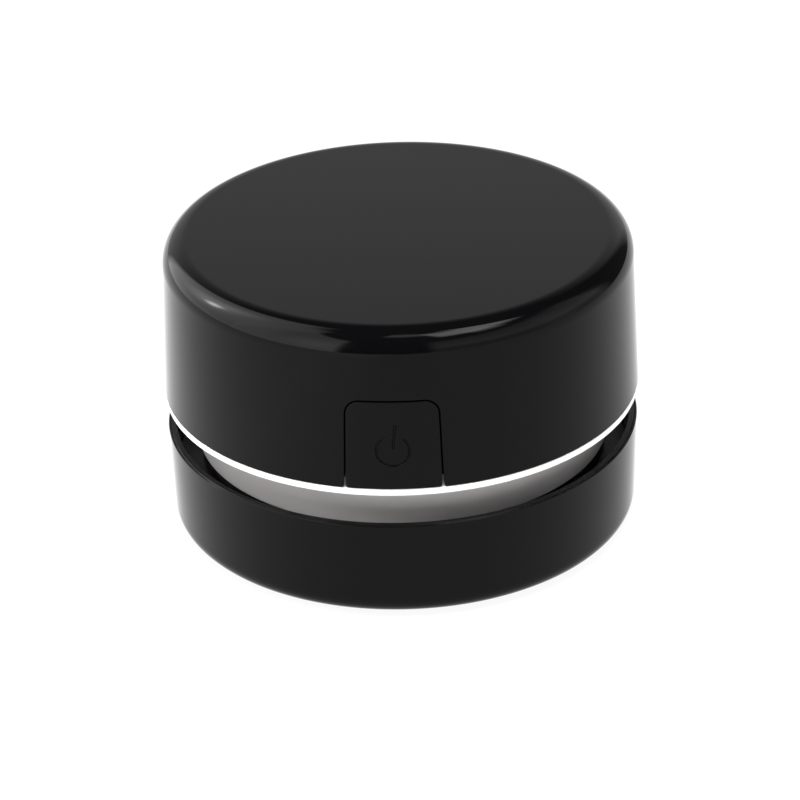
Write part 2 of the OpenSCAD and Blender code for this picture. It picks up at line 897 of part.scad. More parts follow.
module impeller() {
    color("#e6e6e4")
        difference() {
            union() {
                translate([0, 0, disc_top - disc_t]) cylinder(r = fan_r, h = disc_t);
                translate([0, 0, hub_low]) cylinder(r = hub_r, h = disc_top - hub_low);
                for (i = [0:blades - 1])
                    rotate([0, 0, 360 * i / blades])
                        translate([0, 0, blade_z])
                            linear_extrude(disc_top - disc_t / 2 - blade_z)
                                blade_outline();
            }
            translate([0, 0, hub_low - over]) cylinder(r = shaft_r, h = disc_top - hub_low + 2 * over);
        }
}

// ---- Battery bay ----

// A cell along X with its nub at +X, its flat end at the origin
module cell() {
    rotate([0, 90, 0])
        rotate_extrude()
            polygon([
                [0, 0], [cell_r - cell_edge, 0], [cell_r, cell_edge], [cell_r, cell_l - nub_l - cell_edge],
                [cell_r - cell_edge, cell_l - nub_l], [nub_r, cell_l - nub_l], [nub_r, cell_l], [0, cell_l]
            ]);
}

module front_cell() {
    color("#5a7d5c") translate([-bay_half + contact_t + spring_l, -cell_y, cell_z]) cell();
}

module rear_cell() {
    color("#5a7d5c")
        translate([bay_half - contact_t - spring_l, cell_y, cell_z])
            rotate([0, 0, 180])
                cell();
}

module bridge_contact() {
    color("#cfcfd2")
        translate([bay_half - contact_t, -cell_y - contact_half, deck_z + contact_low])
            cube([contact_t, 2 * (cell_y + contact_half), 2 * contact_half]);
}

module end_contacts() {
    color("#cfcfd2")
        for (y = [-1, 1])
            translate([-bay_half, y * cell_y - contact_half, deck_z + contact_low])
                cube([contact_t, 2 * contact_half, contact_high - contact_low]);
}

// A cone-shaped contact spring, wide end at x = 0, as one unbroken wire
function spring_path() =
    [for (i = [0:spring_turns * RING_STEPS])
        let (s = i / (spring_turns * RING_STEPS), a = 360 * i / RING_STEPS,
            r = spring_wide_r + (spring_narrow_r - spring_wide_r) * s)
        [spring_wire_r + (spring_l - 2 * spring_wire_r) * s, r * cos(a), r * sin(a)]];

function least_gap(p, apart) =
    min([for (i = [0:len(p) - 1]) for (k = [i + apart:1:len(p) - 1]) norm(p[i] - p[k])]) - 2 * spring_wire_r;

module contact_spring() {
    path = spring_path();
    echo(least_gap_between_turns = least_gap(path, RING_STEPS / 2));
    tube(path, spring_wire_r, wire_sides, [1, 0, 0]);
}

module front_cell_spring() {
    color("#d9d9dc") translate([-bay_half + contact_t, -cell_y, cell_z]) contact_spring();
}

module rear_cell_spring() {
    color("#d9d9dc")
        translate([bay_half - contact_t, cell_y, cell_z])
            rotate([0, 0, 180])
                contact_spring();
}

// ---- Board, switch and leads ----

module circuit_board() {
    color("#2f6b3c") translate([-board_w / 2, -board_front, board_z]) cube([board_w, board_t, board_h]);
}

module push_switch() {
    color("#2b2b2e")
        difference() {
            translate([-switch_w / 2, -switch_front, key_mid - switch_w / 2])
                cube([switch_w, switch_d, switch_w]);
            translate([0, -switch_front - over, key_mid])
                rotate([-90, 0, 0])
                    cylinder(r = plunger_r + pin_gap, h = switch_bore_l + over);
        }
}

// Way points of a lead: steps counted from one of the places where it is soldered
function route(from, steps) = [for (s = steps) from + route_step * s];

module lead(points, tint) {
    color(tint) tube(smooth(points, lead_steps), lead_r, lead_sides, [0, 0, 1]);
}

function end_tab(y) = [-bay_half - solder_gap, y, tab_z];
function board_pad(x) = [x, -board_back + solder_gap, pad_z];
function motor_tab(x) = [x, -motor_flat / 2 - terminal_l - solder_gap, terminal_z + terminal_t / 2];

module supply_lead() {
    start = end_tab(cell_y);
    mid = end_tab(-cell_y);
    stop = board_pad(-pad_x);
    lead(concat(
        route(start, [[0, 0, 0], [-1.6, 0, 0], [-4, -3, -0.6], [-5.4, -12, -3]]),
        route(mid, [[-5.4, 12, -3.4], [-4.6, 3, -2], [-3.4, -2.6, -0.6], [-0.4, -7.6, 1.4], [6, -8.6, 3]]),
        route(stop, [[-7, 2.6, 3.2], [-1.6, 2.6, 2], [0, 1.2, 0], [0, 0, 0]])
    ), "#8d1f1f");
}

module return_lead() {
    start = end_tab(-cell_y);
    stop = motor_tab(-terminal_x);
    lead(concat(
        route(start, [[0, 0, 0], [-1.6, 0, 0], [-3.4, 2.2, 2.8], [-0.6, 5.6, 7], [7.4, 7.4, 9.6]]),
        route(stop, [[-8, -1, 0.6], [-2.6, -2.6, 0.2], [0, -1.6, 0], [0, 0, 0]])
    ), "#202022");
}

module switched_lead() {
    start = board_pad(pad_x);
    stop = motor_tab(terminal_x);
    lead(concat(
        route(start, [[0, 0, 0], [0, 1.2, 0], [-0.4, 2.6, 1.8], [-1.2, 6, 5.4]]),
        route(stop, [[1.2, -6, -1.6], [0, -1.8, 0], [0, 0, 0]])
    ), "#8d1f1f");
}

// ---- Power key ----

module key_outline(margin, low) {
    half = key_w / 2 + margin;
    top = key_z + key_h + margin;
    corner = key_corner + margin;
    corner_x = half - key_taper - corner;
    polygon(concat(
        [[-half, low], [half, low]],
        arc([corner_x, top - corner], corner, 0, 90, 8),
        arc([-corner_x, top - corner], corner, 90, 180, 8)
    ));
}

// The space inside the cover's outer wall, drawn in by a margin
module cover_cone(margin) {
    lean_h = cover_h - cover_round;
    translate([0, 0, deck_z])
        cylinder(
            r1 = body_r - margin,
            r2 = body_r - margin - cover_draft * lean_h / cover_h,
            h = lean_h
        );
}

// Lifts a flat outline in the X-Z plane into a block that runs out through the front wall
module through_front(deep) {
    translate([0, -body_r + deep, 0])
        rotate([90, 0, 0])
            linear_extrude(deep + 2 * over)
                children();
}

module power_mark() {
    translate([0, key_z + mark_h])
        rotate(-mark_lean) {
            difference() {
                circle(r = mark_r + mark_line / 2);
                circle(r = mark_r - mark_line / 2);
                polygon([
                    [0, 0],
                    2 * mark_r * [sin(-mark_gap / 2), cos(mark_gap / 2)],
                    2 * mark_r * [sin(mark_gap / 2), cos(mark_gap / 2)]
                ]);
            }
            translate([-mark_line / 2, mark_bar_low]) square([mark_line, mark_bar_high - mark_bar_low]);
        }
}

module power_key() {
    boss_root = body_r - key_t + key_root;
    pin_root = boss_root - key_root;
    pin_l = pin_root - bracket_back + pin_gap;
    color("#1a1a1b") {
        difference() {
            intersection() {
                through_front(2 * key_t) key_outline(0, key_z);
                difference() {
                    cover_cone(0);
                    translate([0, 0, -eps]) cover_cone(key_t);
                }
            }
            intersection() {
                through_front(key_t) power_mark();
                difference() {
                    cover_cone(-over);
                    cover_cone(mark_depth);
                }
            }
        }
        translate([0, -boss_root, key_mid])
            rotate([-90, 0, 0])
                cylinder(r = push_boss_r, h = boss_root - plunger_tip);
        for (x = [-pin_x, pin_x])
            translate([x, -pin_root, key_mid])
                rotate([-90, 0, 0]) {
                    cylinder(r = pin_r, h = pin_l + eps);
                    translate([0, 0, pin_l]) cylinder(r = pin_head_r, h = pin_head_l);
                }
    }
}

module switch_plunger() {
    color("#d0d0cc")
        translate([0, -plunger_tip, key_mid])
            rotate([-90, 0, 0])
                cylinder(r = plunger_r, h = plunger_l);
}

// ---- Top cover ----

function cover_wall_at(z, margin) = body_r - margin - cover_draft * (z - deck_z) / cover_h;

// Half outline of the cover's outer or inner skin: a leaning wall with a rounded upper edge
function cover_skin(low, top, round_r, margin) =
    let (lean = atan(cover_draft / cover_h), cz = top - round_r,
        cr = cover_wall_at(cz, margin) - round_r / cos(lean))
    concat([[cover_wall_at(low, margin), low]], arc([cr, cz], round_r, lean, 90, 10));

module top_cover() {
    low = deck_z + play / 2;
    inner_top = top_z - cover_top;
    outer = cover_skin(low, top_z, cover_round, 0);
    inner = cover_skin(low, inner_top, cover_round - cover_wall, cover_wall);
    notch_deep = 2 * cover_wall + over;
    color("#1a1a1b")
        difference() {
            rotate_extrude()
                polygon(concat(
                    outer, [[0, top_z], [0, inner_top]], [for (i = [len(inner) - 1:-1:0]) inner[i]]
                ));
            through_front(notch_deep) key_outline(key_groove, deck_z - over);
        }
}

dust_cup();
rim_ring();
glide_feet();
nozzle();
brush_base();
brush_bristles();
collar_ring();
seal_ring();
neck_ring();
fan_base();
filter_frame();
filter_screen();
chassis();
deck_screws();
motor_can();
motor_end_cap();
motor_magnets();
carbon_brushes();
motor_terminals();
lower_bush();
upper_bush();
motor_strap();
strap_screws();
rotor_shaft();
armature_core();
armature_windings();
commutator();
impeller();
front_cell();
rear_cell();
bridge_contact();
end_contacts();
front_cell_spring();
rear_cell_spring();
circuit_board();
push_switch();
supply_lead();
switched_lead();
return_lead();
power_key();
switch_plunger();
top_cover();
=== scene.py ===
"""Looks of a round desk vacuum: shells, key, brush, screws, springs, leads, every finish, and the studio.

Lengths are in metres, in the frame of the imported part: +Z up, the desk at z = 0, the power key towards -Y.
"""
import json
import logging
import math
from collections.abc import Callable, Sequence
from dataclasses import dataclass, field
from enum import Enum
from typing import Any

import bmesh
import bpy
from mathutils import Matrix, Vector


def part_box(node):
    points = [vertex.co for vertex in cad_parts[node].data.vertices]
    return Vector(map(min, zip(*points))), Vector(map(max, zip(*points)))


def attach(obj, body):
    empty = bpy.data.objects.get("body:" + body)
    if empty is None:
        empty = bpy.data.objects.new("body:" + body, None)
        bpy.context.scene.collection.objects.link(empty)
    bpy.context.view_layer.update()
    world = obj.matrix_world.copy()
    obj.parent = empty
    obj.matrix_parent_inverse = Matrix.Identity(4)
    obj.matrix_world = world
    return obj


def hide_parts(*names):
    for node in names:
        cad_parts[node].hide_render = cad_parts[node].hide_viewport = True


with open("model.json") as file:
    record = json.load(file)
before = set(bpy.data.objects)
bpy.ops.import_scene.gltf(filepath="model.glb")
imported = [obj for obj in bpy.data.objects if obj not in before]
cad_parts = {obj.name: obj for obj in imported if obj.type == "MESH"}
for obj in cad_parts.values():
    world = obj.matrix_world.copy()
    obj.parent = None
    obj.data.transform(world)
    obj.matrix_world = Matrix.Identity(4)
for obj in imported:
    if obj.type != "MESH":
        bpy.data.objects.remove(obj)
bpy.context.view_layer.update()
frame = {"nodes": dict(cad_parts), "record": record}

MM = 0.001
LOG = logging.getLogger("desk_vacuum")

Pair = tuple[float, float]
Rgb = tuple[float, float, float]


def linear(grey_or_hex: str) -> Rgb:
    """Linear colour of a written one.

    Args:
        grey_or_hex: A colour as six hexadecimal digits.

    Returns:
        Its red, green and blue as linear values.
    """
    channels = [int(grey_or_hex[i:i + 2], 16) / 255 for i in (0, 2, 4)]
    return tuple(c / 12.92 if c <= 0.04045 else ((c + 0.055) / 1.055) ** 2.4 for c in channels)


def spread(start: float, stop: float, steps: int) -> list[float]:
    """Even steps from start to stop, both included."""
    return [start + (stop - start) * i / steps for i in range(steps + 1)]


# ---------------------------------------------------------------- meshes


class Sheet:
    """Vertices and faces of a piece while it is being built."""

    def __init__(self) -> None:
        """Starts an empty sheet."""
        self.points: list[Vector] = []
        self.faces: list[tuple[int, ...]] = []

    def row(self, points: Sequence[Vector]) -> list[int]:
        """Adds points.

        Args:
            points: Places of the new vertices.

        Returns:
            The numbers of the new vertices, in order.
        """
        first = len(self.points)
        self.points.extend(points)
        return list(range(first, len(self.points)))

    def bridge(self, a: Sequence[int], b: Sequence[int], closed: bool = False) -> None:
        """Joins two rows of equal length by quads.

        Args:
            a: Vertex numbers of the first row.
            b: Vertex numbers of the second row.
            closed: Whether the last vertices join up with the first.
        """
        count = len(a)
        for i in range(count if closed else count - 1):
            k = (i + 1) % count
            self.faces.append((a[i], a[k], b[k], b[i]))

    def fan(self, ring: Sequence[int], centre: Vector) -> None:
        """Closes a ring with triangles to one point.

        Args:
            ring: Vertex numbers of the ring.
            centre: Place of the point in its middle.
        """
        hub = self.row([centre])[0]
        for i, a in enumerate(ring):
            self.faces.append((a, ring[(i + 1) % len(ring)], hub))

    def add(self, other: "Sheet", place: Matrix) -> None:
        """Adds a copy of another sheet.

        Args:
            other: The sheet to copy.
            place: Where the copy goes.
        """
        first = len(self.points)
        self.points.extend(place @ p for p in other.points)
        self.faces.extend(tuple(i + first for i in f) for f in other.faces)

    def mesh(self, name: str, sharp: float = 40.0) -> bpy.types.Mesh:
        """Makes a clean mesh.

        Args:
            name: Name of the mesh.
            sharp: Angle in degrees from which an edge is shaded sharp.

        Returns:
            The mesh, with merged doubles and faces that point outwards.
        """
        data = bpy.data.meshes.new(name)
        data.from_pydata([tuple(p) for p in self.points], [], self.faces)
        work = bmesh.new()
        work.from_mesh(data)
        bmesh.ops.remove_doubles(work, verts=work.verts, dist=1e-7)
        bmesh.ops.dissolve_degenerate(work, edges=work.edges, dist=1e-8)
        bmesh.ops.recalc_face_normals(work, faces=work.faces)
        work.to_mesh(data)
        work.free()
        data.shade_smooth()
        data.set_sharp_from_angle(angle=math.radians(sharp))
        return data


def turned(profile: Sequence[Pair], segments: int) -> Sheet:
    """Turns a closed outline round the Z axis.

    Args:
        profile: Radius and height of each corner, in order round the section.
        segments: Number of steps round the axis.

    Returns:
        The turned shape. Corners on the axis become one vertex each.
    """
    sheet = Sheet()
    rings = []
    for radius, height in profile:
        if radius < 1e-9:
            rings.append(sheet.row([Vector((0, 0, height))]) * segments)
        else:
            turn = [math.tau * i / segments for i in range(segments)]
            rings.append(sheet.row([on_circle(a, radius, height) for a in turn]))
    for i, ring in enumerate(rings):
        sheet.bridge(ring, rings[(i + 1) % len(rings)], closed=True)
    sheet.faces = [tuple(dict.fromkeys(f)) for f in sheet.faces]
    sheet.faces = [f for f in sheet.faces if len(f) > 2]
    return sheet


def on_circle(angle: float, radius: float, height: float) -> Vector:
    """Point at an angle counted from the front (-Y) towards +X."""
    return Vector((radius * math.sin(angle), -radius * math.cos(angle), height))


def softened(corners: Sequence[tuple[float, float, float]], steps: int = 6) -> list[Pair]:
    """Rounds the corners of a closed outline.

    Args:
        corners: Radius, height and corner rounding of each corner, in order.
        steps: Steps in each rounding.

    Returns:
        The outline, with a guard point on each side of a rounding so that the flats stay flat in shading.
    """
    outline: list[Pair] = []
    count = len(corners)
    for i, (x, y, rounding) in enumerate(corners):
        here = Vector((x, y))
        if rounding <= 0:
            outline.append((x, y))
            continue
        back = (Vector(corners[i - 1][:2]) - here).normalized()
        ahead = (Vector(corners[(i + 1) % count][:2]) - here).normalized()
        half = back.angle(ahead) / 2
        reach = rounding / math.tan(half)
        middle = here + (back + ahead).normalized() * (rounding / math.sin(half))
        start, stop = here + back * reach, here + ahead * reach
        outline.append(tuple(here + back * (reach + 0.25 * rounding)))
        a, b = start - middle, stop - middle
        sweep = a.angle_signed(b)
        for k in range(steps + 1):
            turn = Matrix.Rotation(-sweep * k / steps, 2)
            outline.append(tuple(middle + turn @ a))
        outline.append(tuple(here + ahead * (reach + 0.25 * rounding)))
    return outline


def piece(name: str, data: bpy.types.Mesh, body: str, stands_for: Sequence[str],
          finish: "Finish") -> bpy.types.Object:
    """Adds a finished piece to the scene and hides the nodes that it stands for.

    Args:
        name: Name of the piece.
        data: Its mesh, in place.
        body: Body that it moves with.
        stands_for: Nodes that it replaces.
        finish: Its finish.

    Returns:
        The new object.
    """
    data.materials.clear()
    data.materials.append(finish.material())
    thing = bpy.data.objects.new(name, data)
    bpy.context.scene.collection.objects.link(thing)
    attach(thing, body)
    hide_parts(*stands_for)
    LOG.info("piece %s: %d faces, on %s", name, len(data.polygons), body)
    return thing


# ---------------------------------------------------------------- shader maths


class Wire:
    """An output socket that can be written in Python sums and products."""

    def __init__(self, graph: "Graph", socket: bpy.types.NodeSocket) -> None:
        """Wraps a socket of a graph."""
        self.graph = graph
        self.socket = socket

    def _with(self, operation: str, a: Any, b: Any) -> "Wire":
        """A Math node on two values."""
        return self.graph.add("ShaderNodeMath", {"operation": operation}, {0: a, 1: b})

    def __add__(self, other: Any) -> "Wire":
        """Sum."""
        return self._with("ADD", self, other)

    def __radd__(self, other: Any) -> "Wire":
        """Sum, with the wire on the right."""
        return self._with("ADD", other, self)

    def __sub__(self, other: Any) -> "Wire":
        """Difference."""
        return self._with("SUBTRACT", self, other)

    def __rsub__(self, other: Any) -> "Wire":
        """Difference, with the wire on the right."""
        return self._with("SUBTRACT", other, self)

    def __mul__(self, other: Any) -> "Wire":
        """Product."""
        return self._with("MULTIPLY", self, other)

    def __rmul__(self, other: Any) -> "Wire":
        """Product, with the wire on the right."""
        return self._with("MULTIPLY", other, self)

    def over(self, limit: float) -> "Wire":
        """1 where the value is above the limit, otherwise 0."""
        return self._with("GREATER_THAN", self, limit)

    def size(self) -> "Wire":
        """Absolute value."""
        return self.graph.add("ShaderNodeMath", {"operation": "ABSOLUTE"}, {0: self})

    def remap(self, low: float, high: float, to_low: float = 0.0, to_high: float = 1.0) -> "Wire":
        """Clamped linear change of range.

        Args:
            low: Value that becomes to_low.
            high: Value that becomes to_high.
            to_low: Result at and below low.
            to_high: Result at and above high.

        Returns:
            The new value.
        """
        values = {"From Min": low, "From Max": high, "To Min": to_low, "To Max": to_high, "Value": self}
        return self.graph.add("ShaderNodeMapRange", {"clamp": True}, values)


class Graph:
    """The nodes of one material or of the world."""

    def __init__(self, owner: bpy.types.Material | bpy.types.World) -> None:
        """Takes over its owner's node tree and empties it."""
        owner.use_nodes = True
        self.owner = owner
        self.tree = owner.node_tree
        self.tree.nodes.clear()

    def add(self, kind: str, settings: dict[str, Any] | None = None, inputs: dict[Any, Any] | None = None,
            output: int | str = 0) -> Wire:
        """Adds one node.

        Args:
            kind: Type name of the node.
            settings: Its properties, which are set first.
            inputs: Values or wires of its sockets, by name or number.
            output: Which output to return.

        Returns:
            The chosen output.
        """
        node = self.tree.nodes.new(kind)
        for key, value in (settings or {}).items():
            setattr(node, key, value)
        for key, value in (inputs or {}).items():
            if isinstance(value, Wire):
                self.tree.links.new(value.socket, node.inputs[key])
            else:
                node.inputs[key].default_value = value
        return Wire(self, node.outputs[output])

    def place(self, scale: Rgb = (1, 1, 1), turn: Rgb = (0, 0, 0)) -> Wire:
        """Object coordinates, stretched and turned.

        Args:
            scale: Factors on X, Y and Z.
            turn: Turns round X, Y and Z, in radians.

        Returns:
            The coordinates.
        """
        raw = self.add("ShaderNodeTexCoord", output="Object")
        return self.add("ShaderNodeMapping", None, {"Vector": raw, "Rotation": turn, "Scale": scale})

    def noise(self, where: Wire, scale: float, detail: float = 3.0, rough: float = 0.5) -> Wire:
        """Fractal noise.

        Args:
            where: Coordinates.
            scale: Features per metre.
            detail: Number of finer layers.
            rough: Share of the finer layers.

        Returns:
            A value from 0 to 1.
        """
        inputs = {"Vector": where, "Scale": scale, "Detail": detail, "Roughness": rough}
        return self.add("ShaderNodeTexNoise", None, inputs)

    def blend(self, factor: Any, a: Any, b: Any) -> Wire:
        """Mixes two colours.

        Args:
            factor: Share of the second colour.
            a: First colour.
            b: Second colour.

        Returns:
            The mixed colour.
        """
        a, b = ((*c, 1.0) if isinstance(c, tuple) else c for c in (a, b))
        return self.add("ShaderNodeMix", {"data_type": "RGBA"}, {0: factor, 6: a, 7: b}, output=2)

    def part(self, vector: Wire, axis: str) -> Wire:
        """One coordinate of a vector."""
        return self.add("ShaderNodeSeparateXYZ", None, {0: vector}, output=axis)

    def bump(self, height: Wire, depth: float) -> Wire:
        """Relief from a height between 0 and 1.

        Args:
            height: The height.
            depth: Its full depth in metres.

        Returns:
            The bent normal.
        """
        return self.add("ShaderNodeBump", None, {"Height": height, "Distance": depth, "Strength": 1.0})

    def finish(self, inputs: dict[str, Any]) -> bpy.types.Material:
        """Ends the tree in one Principled shader.

        Args:
            inputs: Values and wires of the shader's sockets.

        Returns:
            The material.
        """
        values = {k: ((*v, 1.0) if isinstance(v, tuple) else v) for k, v in inputs.items()}
        shader = self.add("ShaderNodeBsdfPrincipled", None, values)
        self.show(shader)
        return self.owner

    def show(self, shader: Wire) -> None:
        """Links a shader to the surface of the owner."""
        kind = "World" if isinstance(self.owner, bpy.types.World) else "Material"
        out = self.tree.nodes.new("ShaderNodeOutput" + kind)
        self.tree.links.new(shader.socket, out.inputs["Surface"])


# ---------------------------------------------------------------- finishes


class Look(Enum):
    """How a surface was made, which sets its detail."""

    POLISHED = "polished moulding"
    SATIN = "finely eroded moulding"
    # painted shade: the black behind the key is no real part, it stands in for the shade in the key's gap
    FRAME = "finely eroded moulding with a black light stop behind the key"
    RUBBER = "moulded rubber"
    FELT = "woven filter cloth"
    BRUSHED = "drawn or rolled metal"
    TURNED = "turned metal"
    SINTERED = "sintered or pressed powder"
    WOUND = "lacquered wire"
    WRAP = "printed film"
    BOARD = "printed circuit board"
    STRAND = "drawn nylon strand"
    COATED = "extruded insulation"


@dataclass(frozen=True)
class Finish:
    """One finish: the record's slot that it belongs to, its look, colour and gloss."""

    slot: str
    look: Look
    tone: str
    rough: float
    metal: float = 0.0
    gloss: float = 0.5
    depth: float = 0.01 * MM

    def material(self) -> bpy.types.Material:
        """The material of this finish, made once."""
        name = "finish_" + self.slot
        made = bpy.data.materials.get(name)
        return made or FINISH_MAKERS[self.look](self, Graph(bpy.data.materials.new(name)))

    def shader(self, graph: Graph, colour: Any, rough: Any, normal: Wire, **more: Any) -> bpy.types.Material:
        """Ends a graph in this finish's shader.

        Args:
            graph: The graph to end.
            colour: Base colour.
            rough: Roughness.
            normal: Bent normal.
            **more: Further sockets by name, with _ for a space.

        Returns:
            The material.
        """
        inputs = {"Base Color": colour, "Roughness": rough, "Metallic": self.metal, "Normal": normal}
        inputs |= {"Specular IOR Level": self.gloss} | {k.replace("_", " "): v for k, v in more.items()}
        return graph.finish(inputs)


def polished(f: Finish, g: Graph) -> bpy.types.Material:
    """Gloss moulding with faint waves, hairline scratches and a little dust.

    Args:
        f: The finish.
        g: Its empty graph.

    Returns:
        The material.
    """
    here = g.place()
    waves = g.noise(here, 60, 1.0)
    hair = g.noise(g.place((1, 1, 14), (0.5, 0.2, 0.0)), 260, 4.0, 0.7)
    dust = g.noise(here, 5200, 2.0).remap(0.72, 0.8)
    rough = f.rough + hair.remap(0.52, 0.72) * 0.015 + dust * 0.08
    colour = g.blend(dust * 0.12, linear(f.tone), linear("3a3a3c"))
    return f.shader(g, colour, rough, g.bump(waves, f.depth))


def satin(f: Finish, g: Graph, stop: Wire | float = 0.0) -> bpy.types.Material:
    """Moulding with an eroded grain and soft uneven sheen.

    Args:
        f: The finish.
        g: Its empty graph.
        stop: Where painted shade blacks it out and roughens it, from 0 to 1.

    Returns:
        The material.
    """
    here = g.place()
    grain = g.noise(here, 5200, 4.0, 0.6)
    cloud = g.noise(here, 70, 3.0)
    speck = g.noise(here, 2600, 1.0).remap(0.72, 0.8)
    tone = linear(f.tone)
    colour = g.blend(cloud.remap(0.3, 0.7, 0.0, 0.5) + speck * 0.3, tone, tuple(0.9 * c for c in tone))
    # stop paints shade: black colour and a rougher surface
    rough = f.rough + (cloud - 0.5) * 0.12 + (grain - 0.5) * 0.1 + stop * 0.6
    return f.shader(g, g.blend(stop, colour, linear("070708")), rough, g.bump(grain, f.depth))


def key_frame_painted_shade(f: Finish, g: Graph) -> bpy.types.Material:
    """The same moulding, blacked out with painted shade on the wall behind the key so that the key's gap
    reads dark.

    Args:
        f: The finish.
        g: Its empty graph.

    Returns:
        The material.
    """
    here = g.place()
    x, y, z = (g.part(here, axis) for axis in "XYZ")
    # painted shade: black in a box on the wall behind the key
    stop = (-1 * y).over(PAINTED_SHADE_DEPTH) * (1 - x.size().over(PAINTED_SHADE_HALF)) * z.over(PAINTED_SHADE_LOW)
    return satin(f, g, stop)


def rubber(f: Finish, g: Graph) -> bpy.types.Material:
    """Dull rubber with a pebbled skin and pale dust in it.

    Args:
        f: The finish.
        g: Its empty graph.

    Returns:
        The material.
    """
    here = g.place()
    pebbles = g.add("ShaderNodeTexVoronoi", {"feature": "SMOOTH_F1"}, {"Vector": here, "Scale": 2600})
    bloom = g.noise(here, 400, 4.0).remap(0.45, 0.75)
    colour = g.blend(bloom * 0.35, linear(f.tone), linear("77777a"))
    return f.shader(g, colour, f.rough + bloom * 0.1, g.bump(pebbles, f.depth))


def felt(f: Finish, g: Graph) -> bpy.types.Material:
    """Plain weave of flat threads with painted shade where they dip, a little grey with dust.

    Args:
        f: The finish.
        g: Its empty graph.

    Returns:
        The material.
    """
    here = g.place()
    pitch = 0.55 * MM
    turns = math.tau / pitch
    warp, weft = g.part(here, "X") * turns, g.part(here, "Y") * turns
    wave = {"operation": "SINE"}
    over_under = g.add("ShaderNodeMath", wave, {0: warp}) * g.add("ShaderNodeMath", wave, {0: weft})
    fibre = g.noise(here, 9000, 3.0)
    height = over_under * 0.35 + 0.5 + fibre * 0.2
    dust = g.noise(here, 130, 4.0).remap(0.4, 0.75)
    # painted shade: the threads are darker where the weave dips
    clean = g.blend(height.remap(0.2, 0.9), tuple(0.62 * c for c in linear(f.tone)), linear(f.tone))
    colour = g.blend(dust * 0.4, clean, linear("8d8a80"))
    return f.shader(g, colour, f.rough, g.bump(height, f.depth), Sheen_Weight=0.3)


def brushed(f: Finish, g: Graph) -> bpy.types.Material:
    """Rolled or drawn metal with fine lines along Z and a few stains.

    Args:
        f: The finish.
        g: Its empty graph.

    Returns:
        The material.
    """
    lines = g.noise(g.place((30, 30, 1)), 160, 4.0, 0.7)
    stain = g.noise(g.place(), 120, 4.0).remap(0.5, 0.8)
    tone = linear(f.tone)
    colour = g.blend(lines.remap(0.3, 0.7, 0.0, 0.4) + stain * 0.4, tone, tuple(0.7 * c for c in tone))
    rough = f.rough + (lines - 0.5) * 0.15 + stain * 0.1
    return f.shader(g, colour, rough, g.bump(lines, f.depth))


def turned_metal(f: Finish, g: Graph) -> bpy.types.Material:
    """Metal with fine tool marks round the Z axis.

    Args:
        f: The finish.
        g: Its empty graph.

    Returns:
        The material.
    """
    marks = g.noise(g.place((0.02, 0.02, 1)), 9000, 3.0, 0.6)
    film = g.noise(g.place(), 300, 4.0).remap(0.4, 0.8)
    tone = linear(f.tone)
    colour = g.blend(film * 0.5, tone, tuple(0.65 * c for c in tone))
    return f.shader(g, colour, f.rough + (marks - 0.5) * 0.2, g.bump(marks, f.depth))


def sintered(f: Finish, g: Graph) -> bpy.types.Material:
    """Pressed powder with pits and a mottled tone.

    Args:
        f: The finish.
        g: Its empty graph.

    Returns:
        The material.
    """
    here = g.place()
    pits = g.add("ShaderNodeTexVoronoi", {"feature": "F1"}, {"Vector": here, "Scale": 4200})
    mottle = g.noise(here, 700, 4.0)
    tone = linear(f.tone)
    colour = g.blend(mottle.remap(0.35, 0.7), tone, tuple(0.72 * c for c in tone))
    return f.shader(g, colour, f.rough + (mottle - 0.5) * 0.2, g.bump(pits, f.depth))


def wound(f: Finish, g: Graph) -> bpy.types.Material:
    """Turns of lacquered wire, one above the other, with painted shade between the turns.

    Args:
        f: The finish.
        g: Its empty graph.

    Returns:
        The material.
    """
    wire = 0.28 * MM
    turn = g.part(g.place(), "Z") * (math.tau / wire)
    height = g.add("ShaderNodeMath", {"operation": "SINE"}, {0: turn}) * 0.5 + 0.5
    shade = g.noise(g.place((1, 1, 8)), 500, 2.0)
    tone = linear(f.tone)
    # painted shade: the wire is darker where it dips between turns
    dark = tuple(0.35 * c for c in tone)
    colour = g.blend(height.remap(0.0, 0.6), dark, g.blend(shade, tone, tuple(0.75 * c for c in tone)))
    return f.shader(g, colour, f.rough, g.bump(height, f.depth))


def wrap(f: Finish, g: Graph) -> bpy.types.Material:
    """Printed film round a cell: dark, with a pale line and a copper-toned band at the nub's end.

    Past the film the metal is bare. The two cells lie head to tail along X, the front one's nub towards +X.

    Args:
        f: The finish.
        g: Its empty graph.

    Returns:
        The material.
    """
    here = g.place()
    along = g.part(here, "X") * (1 - 2 * g.part(here, "Y").over(0.0))
    band = along.over(CELL_BAND)
    line = band * (1 - along.over(CELL_BAND + CELL_LINE))
    bare = along.size().over(CELL_FILM_END)
    print_grain = g.noise(g.place((8, 1, 1)), 900, 2.0)
    body = g.blend(print_grain * 0.25, linear(f.tone), linear("55585c"))
    film = g.blend(line, g.blend(band, body, linear("a8693a")), linear("d9d9d6"))
    colour = g.blend(bare, film, linear("c3c3c6"))
    creases = g.noise(g.place((3, 1, 1)), 240, 3.0)
    rough = f.rough + creases.remap(0.4, 0.8) * 0.12 + bare * 0.1
    return f.shader(g, colour, rough, g.bump(creases, f.depth), Metallic=bare)


